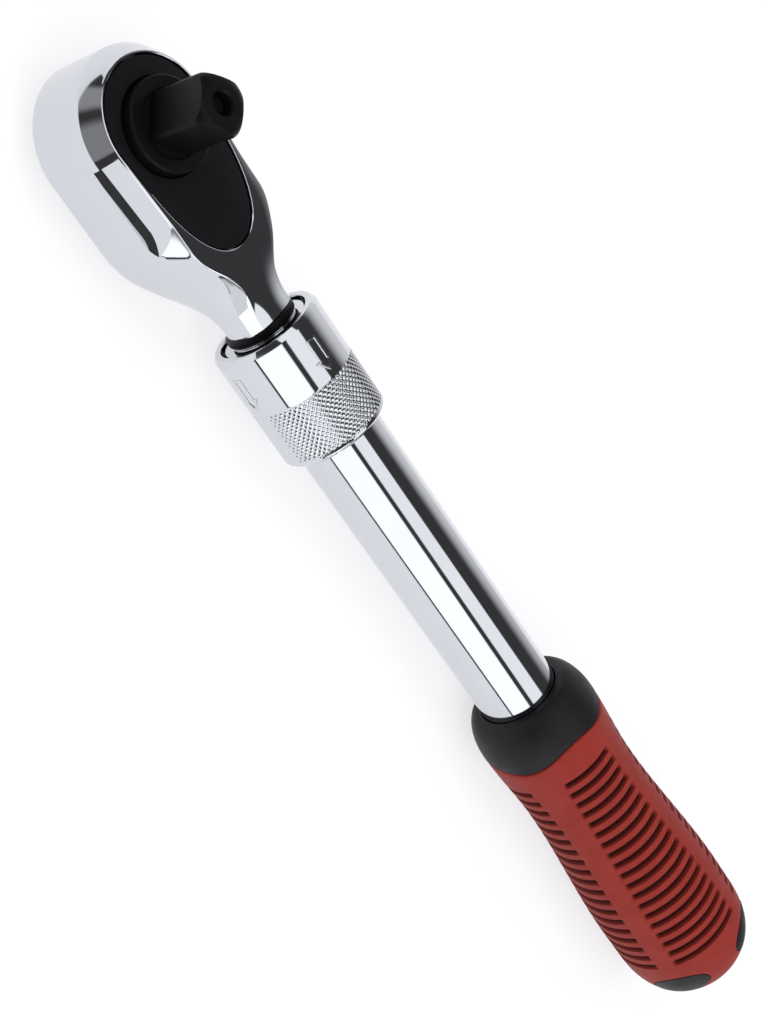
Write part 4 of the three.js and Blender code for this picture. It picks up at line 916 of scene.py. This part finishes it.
@dataclass
class Lock:
    """Front bush, lock balls, collar, its ring and spring, and the tube."""

    ball_x: float = 65.8
    ball_out: float = 9.02
    ball_radius: float = 2.1
    collar_start: float = 59.0
    collar_end: float = 95.0
    collar_radius: float = 16.05
    knurl_start: float = 76.8
    knurl_end: float = 93.6
    knurls: int = 62
    knurl_depth: float = 0.42
    tube_start: float = 84.8
    tube_end: float = 298.6
    tube_radius: float = 12.5
    tube_bore: float = 10.5
    collar_chamfer: Point2 = (1.5, 1.0)
    collar_mouth: float = 13.3
    skirt: Point2 = (72.5, 12.8)
    land_bore: float = 11.5
    ramp: Point2 = (62.9, 65.5)
    ramp_bore: float = 12.4
    bush_bore: float = 8.3
    bush_flat: float = 7.5
    ball_hole: float = 2.4
    ring: Point2 = (61.4, 62.6)
    ring_radii: Point2 = (10.7, 13.0)
    ring_arc: Point2 = (-22.0, 316.0)
    arrows: int = 4
    arrow_x: float = 69.6
    arrow_turn: float = 8.0
    arrow_line: float = 0.75
    arrow_height: float = 0.3
    coil_end: float = 84.5
    coil_length: float = 11.7
    pull: float = 6.0

    def bush(self) -> Solid:
        """Builds the bush with its bore, flats and ball holes."""
        outer = spun(rounded([(59.3, 0, 0), (59.3, 9.7, 0.25), (59.8, 9.7, 0.1), (59.8, 12.4, 0.3), (61.1, 12.4, 0.1),
                              (61.1, 10.4, 0), (62.9, 10.4, 0), (62.9, 11.2, 0.1), (84.5, 11.2, 0.1),
                              (84.5, 10.2, 0.1), (95.8, 10.2, 0.4), (95.8, 0, 0)]))
        bore = spun(rounded([(58, 0, 0), (58, self.bush_bore + 1, 0), (59.3, self.bush_bore + 0.3, 0.1),
                             (59.7, self.bush_bore, 0.1), (97, self.bush_bore, 0), (97, 0, 0)]))
        for vert in bore.verts:
            vert.co.y = min(max(vert.co.y, -self.bush_flat), self.bush_flat)
        holes = cylinder(self.ball_hole, -13, 13, self.ball_x, 48)
        return combine(combine(outer, bore, Cut.TAKE), holes, Cut.TAKE)

    def knurl(self, x: float, angle: float) -> float:
        """Gives the depth of the diamond knurl at a place on the collar."""
        margin = min(x - self.knurl_start, self.knurl_end - x)
        if margin < 0:
            return 0.0
        pitch = 2 * math.pi * self.collar_radius / self.knurls
        around = angle / (2 * math.pi) * self.knurls
        along = (x - self.knurl_start) / (pitch * 1.1)
        cuts = [abs((value % 1.0) - 0.5) * 2 for value in (around + along, around - along)]
        return self.knurl_depth * max(cuts) * ease(margin / 0.5)

    def collar(self) -> Solid:
        """Builds the collar with its land, ramp and skirt, and presses the knurl into it."""
        radius, start, end = self.collar_radius, self.collar_start, self.collar_end
        along, drop = self.collar_chamfer
        skirt_start, skirt_bore = self.skirt
        ramp_start, ramp_end = self.ramp
        # The two points with no rounding keep the plain band's shading straight.
        outer = rounded([(start, self.collar_mouth, 0.2), (start, radius - drop, 0.3), (start + along, radius, 0.3),
                         (start + along + 0.7, radius, 0), (self.knurl_start - 0.3, radius, 0),
                         (end - 0.8, radius, 0.4), (end, radius - 0.8, 0.3), (end, skirt_bore, 0.2),
                         (skirt_start, skirt_bore, 0), (skirt_start, self.land_bore, 0.1),
                         (ramp_end, self.land_bore, 0.2), (ramp_start, self.ramp_bore, 0.1),
                         (ramp_start, self.collar_mouth, 0)])
        split = next(i for i, (x, _) in enumerate(outer) if x > self.knurl_start)
        rows = 84
        band = [(lerp(self.knurl_start, self.knurl_end, i / rows), radius) for i in range(rows + 1)]
        bm = spun(outer[:split] + band + outer[split:], self.knurls * 6)
        for vert in bm.verts:
            x, y, z = vert.co
            reach = math.hypot(y, z)
            if reach > radius - 0.05:
                depth = self.knurl(x, math.atan2(y, z))
                vert.co = Vector((x, y * (1 - depth / reach), z * (1 - depth / reach)))
        return bm

    def arrow(self, turn: float) -> Solid:
        """Builds the raised outline of an arrow that points to the grip, on the collar at an angle."""
        shape = [(-5.2, -1.7), (1.4, -1.7), (1.4, -3.1), (5.2, 0.0), (1.4, 3.1), (1.4, 1.7), (-5.2, 1.7)]
        line, height = self.arrow_line, self.arrow_height
        ridge = [(0.0, -0.1), (0.04, 0.5 * height), (0.2, 0.9 * height), (0.5, height), (0.8, 0.9 * height),
                 (0.96, 0.5 * height), (1.0, -0.1), (0.0, -0.1)]
        loops = []
        for share, rise in ridge:
            corners = inset(shape, share * line)
            loop = []
            for here, after in zip(corners, corners[1:] + corners[:1]):
                for i in range(10):
                    x, y = here.lerp(after, i / 10)
                    angle = math.radians(turn) + y / self.collar_radius
                    reach = self.collar_radius + rise
                    loop.append(Vector((self.arrow_x + x, -reach * math.sin(angle), reach * math.cos(angle))))
            loops.append(loop)
        return lofted(loops, caps=False)

    def build(self) -> None:
        """Builds and dresses the lock's pieces."""
        piece("collar_bush", self.bush(), CHROME, Body.HANDLE, "front_bush")
        piece("pull_collar", self.collar(), CHROME, Body.COLLAR, "lock_collar", 40)
        for k in range(self.arrows):
            arrow = self.arrow(self.arrow_turn + 360 / self.arrows * k)
            piece(f"pull_arrow_{k}", arrow, KNURLED_CHROME, Body.COLLAR)
        (start, end), (bore, radius), (gap, turn) = self.ring, self.ring_radii, self.ring_arc
        wire = rounded([(start, bore, 0.2), (start, radius, 0.2), (end, radius, 0.2), (end, bore, 0.2)])
        ring = move(spun(wire, 72, "X", turn), Matrix.Rotation(math.radians(gap), 4, "X"))
        piece("collar_snap_ring", ring, BLACK_OXIDE, Body.HANDLE, "collar_ring")
        coil = move(spring(12.0, 0.42, 4, self.coil_length), Matrix.Rotation(math.pi / 2, 4, "Y"))
        move(coil, Matrix.Translation((self.coil_end - self.coil_length, 0, 0)))
        coil_piece = piece("collar_coil", coil, GROUND_STEEL, Body.HANDLE, "collar_spring")
        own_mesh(coil_piece)
        for side, body, node in ((1, Body.BALL_TOP, "lock_ball_top"), (-1, Body.BALL_BOTTOM, "lock_ball_bottom")):
            centre = Vector((self.ball_x, 0, side * self.ball_out))
            piece(node.replace("ball", "bearing"), ball(self.ball_radius, centre), GROUND_STEEL, body,
                  node)
        tube = spun(rounded([(self.tube_start, self.tube_bore, 0.2), (self.tube_start, self.tube_radius, 0.3),
                             (self.tube_end, self.tube_radius, 0.3), (self.tube_end, self.tube_bore, 0.2)]), 128)
        piece("chrome_tube", tube, CHROME, Body.HANDLE, "handle_tube")


@dataclass
class Grip:
    """Two-part grip: a hard core with a flared front, and a soft ribbed sleeve."""

    start: float = 198.6
    length: float = 128.8
    mouth: float = 14.2
    front: float = 19.6
    waist: float = 18.5
    swell: float = 21.7
    front_at: float = 12.5
    waist_at: float = 38.0
    swell_at: float = 95.0
    round_at: float = 105.0
    fullness: float = 2.5
    dome: float = 5.0
    turn: float = 20.0
    sleeve_start: float = 14.8
    panels: int = 4
    grooves: int = 19
    groove_pitch: float = 4.38
    groove_width: float = 1.9
    groove_depth: float = 1.6
    groove_start: float = 24.8
    groove_angles: Point2 = (27.0, 36.0)
    window: Point2 = (12.0, 19.0)
    window_at: float = 116.5
    window_tilt: float = 22.0
    scallop: float = 1.2
    sleeve_bore: float = 16.2
    core_radius: float = 15.9
    core_bore: float = 12.8
    core_taper_at: float = 112.0
    core_floor_at: float = 100.3

    def radius(self, at: float) -> float:
        """Gives the grip's outer radius at a distance from its mouth."""
        if at < self.front_at:
            return self.mouth + (self.front - self.mouth) * math.sqrt(1 - (1 - at / self.front_at) ** 2)
        if at < self.waist_at:
            return lerp(self.front, self.waist, ease((at - self.front_at) / (self.waist_at - self.front_at)))
        if at < self.round_at:
            return lerp(self.waist, self.swell, ease((at - self.waist_at) / (self.swell_at - self.waist_at)))
        share = (at - self.round_at) / (self.length - self.round_at)
        return self.swell * (1 - share**self.fullness) ** (1 / self.fullness)

    def groove(self, at: float, angle: float) -> float:
        """Gives the depth share of the grooves at a place on the grip, angle in degrees from +Z to -Y."""
        index = round((at - self.groove_start) / self.groove_pitch)
        if not 0 <= index < self.grooves:
            return 0.0
        off = abs(at - self.groove_start - index * self.groove_pitch)
        half = lerp(*self.groove_angles, (index / (self.grooves - 1)) ** 0.6)
        quarter = 360 / self.panels
        across = abs((angle + self.turn) % quarter - quarter / 2)
        end_mm = math.radians(half - across) * self.radius(at)
        side_mm = self.groove_width / 2 - off
        return ease(side_mm / 0.5 + 0.5) * ease(end_mm / 1.0 + 0.5)

    def front_edge(self, angle: float) -> float:
        """Gives how far the sleeve's scalloped front edge is set back at an angle in degrees from +Z to -Y."""
        return self.scallop * math.cos(math.radians((angle + self.turn) * self.panels))

    def sleeve_places(self) -> list[float]:
        """Gives the distances from the mouth at which the sleeve has a ring of vertices."""
        half = self.groove_width / 2
        places = [self.sleeve_start + d for d in (0.0, 0.3, 0.7, 1.5, 3.0, 4.5, 6.0, 7.5)]
        for k in range(self.grooves):
            middle = self.groove_start + k * self.groove_pitch
            places += [middle + d for d in (-half - 0.9, -half - 0.25, -half - 0.08, -half + 0.08, -half + 0.25,
                                            0.0, half - 0.25, half - 0.08, half + 0.08, half + 0.25)]
        last = self.groove_start + (self.grooves - 1) * self.groove_pitch + half + 0.9
        end = self.length - self.dome
        return places + [lerp(last, end, i / 30) for i in range(31)]

    def windows(self, margin: float) -> list[Solid]:
        """Gives lens-shaped prisms through the sleeve's rear, taken in by a margin."""
        radii = (self.window[0] / 2 - margin, self.window[1] / 2 - margin)
        lenses = []
        for k in range(self.panels):
            lens = prism(arc((0, 0), radii, 0, 360 * 63 / 64, 63), -9, 9)
            move(lens, Matrix.Rotation(math.radians(self.window_tilt), 4, "Y"))
            move(lens, Matrix.Translation((self.start + self.window_at, 0, self.radius(self.window_at))))
            turned = 360 / self.panels * k - self.turn
            lenses.append(move(lens, Matrix.Rotation(math.radians(turned), 4, "X")))
        return lenses

    def sleeve(self) -> Solid:
        """Builds the ribbed sleeve with its four windows."""
        end = self.length - self.dome
        tail = self.radius(end) - 2.6
        places = self.sleeve_places()
        outline = [(self.start + at, self.radius(at)) for at in places]
        front = self.start + self.sleeve_start
        lead = [(front, self.sleeve_bore), (front, self.radius(self.sleeve_start) - 0.9)]
        close = [(self.start + end + 0.25, self.radius(end) - 0.5), (self.start + end + 0.2, tail + 0.3),
                 (self.start + end, tail), (self.start + self.core_taper_at, self.sleeve_bore)]
        front_drop = {0: 0.45, 1: 0.15, 2: 0.04}
        outline = [(x, r - front_drop.get(i, 0.0)) for i, (x, r) in enumerate(outline)]
        bm = spun(lead + outline + close, 288)
        for vert in bm.verts:
            fade = 1 - ease((vert.co.x - self.start - self.sleeve_start) / 8)
            vert.co.x += fade * self.front_edge(math.degrees(math.atan2(-vert.co.y, vert.co.z)))
        for lens in self.windows(0.0):
            bm = combine(bm, lens, Cut.TAKE)
        # The groove depth share is also stored on each vertex, for the rubber's painted shade in the grooves.
        layer = bm.verts.layers.float.new("groove_shade_share")
        for vert in bm.verts:
            x, y, z = vert.co
            reach = math.hypot(y, z)
            at = x - self.start
            if reach < 17.4 or at > 110:
                continue
            depth = self.groove(at, math.degrees(math.atan2(-y, z)))
            vert[layer] = depth
            scale = 1 - self.groove_depth * depth / reach
            vert.co = Vector((x, y * scale, z * scale))
        return bm

    def core(self) -> Solid:
        """Builds the hard core with its pads in the sleeve's windows."""
        end = self.length - self.dome
        tail = self.radius(end) - 2.9
        corners: list[Point2] = [(self.start, self.core_bore), (self.start, self.mouth - 0.3)]
        corners += [(self.start + self.front_at * (1 - math.cos(a)), self.radius(self.front_at * (1 - math.cos(a))))
                    for a in (math.pi / 2 * i / 24 for i in range(1, 25))]
        edge = self.sleeve_start - 0.3
        corners += [(self.start + edge - 0.4, self.radius(edge)), (self.start + edge, self.radius(edge) - 0.4),
                    (self.start + edge, self.core_radius), (self.start + self.core_taper_at, self.core_radius)]
        corners += [(self.start + self.length - self.dome * (1 - math.sin(a)), tail * math.cos(a))
                    for a in (math.pi / 2 * i / 16 for i in range(17))]
        corners += [(self.start + self.core_floor_at, 0.0), (self.start + self.core_floor_at, self.core_bore)]
        solid = spun(corners, 160)
        for vert in solid.verts:
            if edge - 0.5 < vert.co.x - self.start < edge + 0.1:
                vert.co.x += self.front_edge(math.degrees(math.atan2(-vert.co.y, vert.co.z)))
        crown = [(self.start + 100, 0.0)]
        crown += [(self.start + at, self.radius(at) + 0.12) for at in (lerp(100, end, i / 40) for i in range(41))]
        crown += [(self.start + end, 0.0)]
        for lens in self.windows(0.25):
            pad = combine(spun(crown, 160), lens, Cut.KEEP)
            solid = combine(solid, pad, Cut.JOIN)
        return solid

    def build(self) -> None:
        """Builds and dresses the grip's pieces."""
        piece("grip_hard_core", self.core(), POLYPROPYLENE, Body.HANDLE, "grip_core", 34)
        piece("grip_soft_sleeve", self.sleeve(), RUBBER, Body.HANDLE, "grip_sleeve", 50)


# Stage


@dataclass
class Studio:
    """Floor, surroundings, lamps and the camera at the photograph's angle."""

    eye: Corner = (-78.065, -263.490, 328.657)
    right: Corner = (0.5168742, 0.48731764, 0.70381999)
    down: Corner = (0.73985263, -0.66788745, -0.08089768)
    forward: Corner = (0.43064967, 0.56253699, -0.70575703)
    view_angle: float = 33.93
    sensor: float = 24.0

    def camera(self) -> None:
        """Sets the camera."""
        data = bpy.data.cameras.new("photo_camera")
        data.sensor_fit = "VERTICAL"
        data.sensor_height = self.sensor
        data.lens = self.sensor / 2 / math.tan(math.radians(self.view_angle) / 2)
        data.clip_start, data.clip_end = 0.01, 20
        thing = bpy.data.objects.new("photo_camera", data)
        bpy.context.scene.collection.objects.link(thing)
        axes = Matrix((self.right, [-c for c in self.down], [-c for c in self.forward])).transposed()
        thing.matrix_world = Matrix.Translation(TO_ROW @ Vector(self.eye)) @ axes.to_4x4()
        bpy.context.scene.camera = thing

    def floor(self) -> None:
        """Lays the pale floor, white to the eye and to mirrors, with a soft shadow."""
        bm = bmesh.new()
        bmesh.ops.create_grid(bm, x_segments=1, y_segments=1, size=6)
        mesh = bpy.data.meshes.new("studio_floor")
        bm.to_mesh(mesh)
        bm.free()
        thing = bpy.data.objects.new("studio_floor", mesh)
        bpy.context.scene.collection.objects.link(thing)
        material = bpy.data.materials.new("white_paper_sweep")
        material.use_nodes = True
        tree = material.node_tree
        tree.nodes.remove(tree.nodes["Principled BSDF"])
        path = add_node(tree, "ShaderNodeLightPath")
        seen = add_node(tree, "ShaderNodeMath", {0: path.outputs["Is Camera Ray"], 1: path.outputs["Is Glossy Ray"]},
                        operation="MAXIMUM")
        seen = add_node(tree, "ShaderNodeMath", {0: seen.outputs[0], 1: path.outputs["Is Transmission Ray"]},
                        operation="MAXIMUM")
        place = add_node(tree, "ShaderNodeTexCoord").outputs["Object"]
        away = add_node(tree, "ShaderNodeVectorMath", {0: place}, operation="LENGTH").outputs["Value"]
        white = add_node(tree, "ShaderNodeMapRange",
                         {"Value": away, "From Min": 0.3, "From Max": 0.9, "To Min": 0.72})
        share = add_node(tree, "ShaderNodeMath", {0: seen.outputs[0], 1: white.outputs["Result"]},
                         operation="MULTIPLY")
        paper = add_node(tree, "ShaderNodeBsdfDiffuse", {"Color": linear("#f2f2f4")})
        glow = add_node(tree, "ShaderNodeEmission", {"Color": linear("#fdfdff"), "Strength": 1.0})
        mix = add_node(tree, "ShaderNodeMixShader", {0: share.outputs[0], 1: paper.outputs[0], 2: glow.outputs[0]})
        tree.links.new(mix.outputs[0], tree.nodes["Material Output"].inputs["Surface"])
        mesh.materials.append(material)

    def surroundings(self) -> None:
        """Sets the studio that the chrome mirrors: soft boxes along both sides and above, dark between."""
        world = bpy.data.worlds.new("studio")
        bpy.context.scene.world = world
        world.use_nodes = True
        tree = world.node_tree
        background = tree.nodes["Background"]
        place = add_node(tree, "ShaderNodeTexCoord").outputs["Generated"]
        axes = add_node(tree, "ShaderNodeSeparateXYZ", {0: place})
        x, y, z = axes.outputs

        def band(value: bpy.types.NodeSocket, low: float, high: float) -> bpy.types.NodeSocket:
            """Rises from 0 to 1 between two values."""
            node = add_node(tree, "ShaderNodeMapRange", {"Value": value, "From Min": low, "From Max": high},
                            interpolation_type="SMOOTHSTEP")
            return node.outputs["Result"]

        def times(*values: bpy.types.NodeSocket | float) -> bpy.types.NodeSocket:
            """Multiplies values."""
            total = values[0]
            for value in values[1:]:
                total = add_node(tree, "ShaderNodeMath", {0: total, 1: value}, operation="MULTIPLY").outputs[0]
            return total

        def plus(*values: bpy.types.NodeSocket | float) -> bpy.types.NodeSocket:
            """Adds values."""
            total = values[0]
            for value in values[1:]:
                total = add_node(tree, "ShaderNodeMath", {0: total, 1: value}, operation="ADD").outputs[0]
            return total

        # Each band is a soft box, a patch or a gap, by the direction that a mirror looks in.
        near_side = band(y, -0.43, -0.48)
        side_box = times(near_side, band(x, 0.22, 0.3), band(z, 0.05, 0.075), 1.5)
        side_gap = times(near_side, band(x, 0.06, 0.0), band(x, -0.75, -0.55), band(z, 0.42, 0.3), 0.24)
        overhead = times(band(y, -0.32, -0.27), band(y, 0.25, 0.2), band(z, 0.45, 0.6), 1.15)
        far_side = times(band(y, 0.62, 0.97), 0.8)
        rear_box = times(band(x, 0.6, 0.72), band(y, 0.05, -0.1), band(z, 0.04, 0.09), 0.9)
        front_patch = times(band(x, -0.8, -0.9), band(y, 0.0, -0.15), 0.3)
        light = plus(side_box, side_gap, overhead, far_side, rear_box, front_patch, 0.05)
        path = add_node(tree, "ShaderNodeLightPath")
        shown = add_node(tree, "ShaderNodeMix", {"Factor": path.outputs["Is Camera Ray"], 2: light, 3: 1.0})
        tree.links.new(shown.outputs[0], background.inputs["Strength"])
        background.inputs["Color"].default_value = linear("#fdfdff")

    def lamps(self) -> None:
        """Hangs the soft lamps that light the matt pieces. Mirrors show the surroundings instead."""
        for name, place, size, power in (("key", (0.05, -0.75, 0.95), 0.9, 9.5), ("fill", (-0.7, 0.2, 0.9), 0.9, 4.2),
                                         ("back", (0.5, 0.7, 0.8), 0.9, 4.2)):
            data = bpy.data.lights.new(name, "AREA")
            data.shape, data.size, data.energy = "DISK", size, power
            thing = bpy.data.objects.new(name, data)
            thing.location = place
            thing.rotation_euler = (-Vector(place)).to_track_quat("-Z", "Y").to_euler()
            thing.visible_glossy = False
            bpy.context.scene.collection.objects.link(thing)

    def build(self) -> None:
        """Sets the whole stage."""
        bpy.context.scene.view_settings.view_transform = "Standard"
        self.floor()
        self.surroundings()
        self.lamps()
        self.camera()


def main() -> None:
    """Builds the sub-assemblies in order and logs each one's name."""
    logging.basicConfig(level=logging.INFO, format="%(message)s")
    for part in (Studio(), Head(), Drive(), Lever(), Lock(), Grip()):
        LOG.info("building %s", type(part).__name__)
        part.build()


if __name__ == "__main__":
    main()
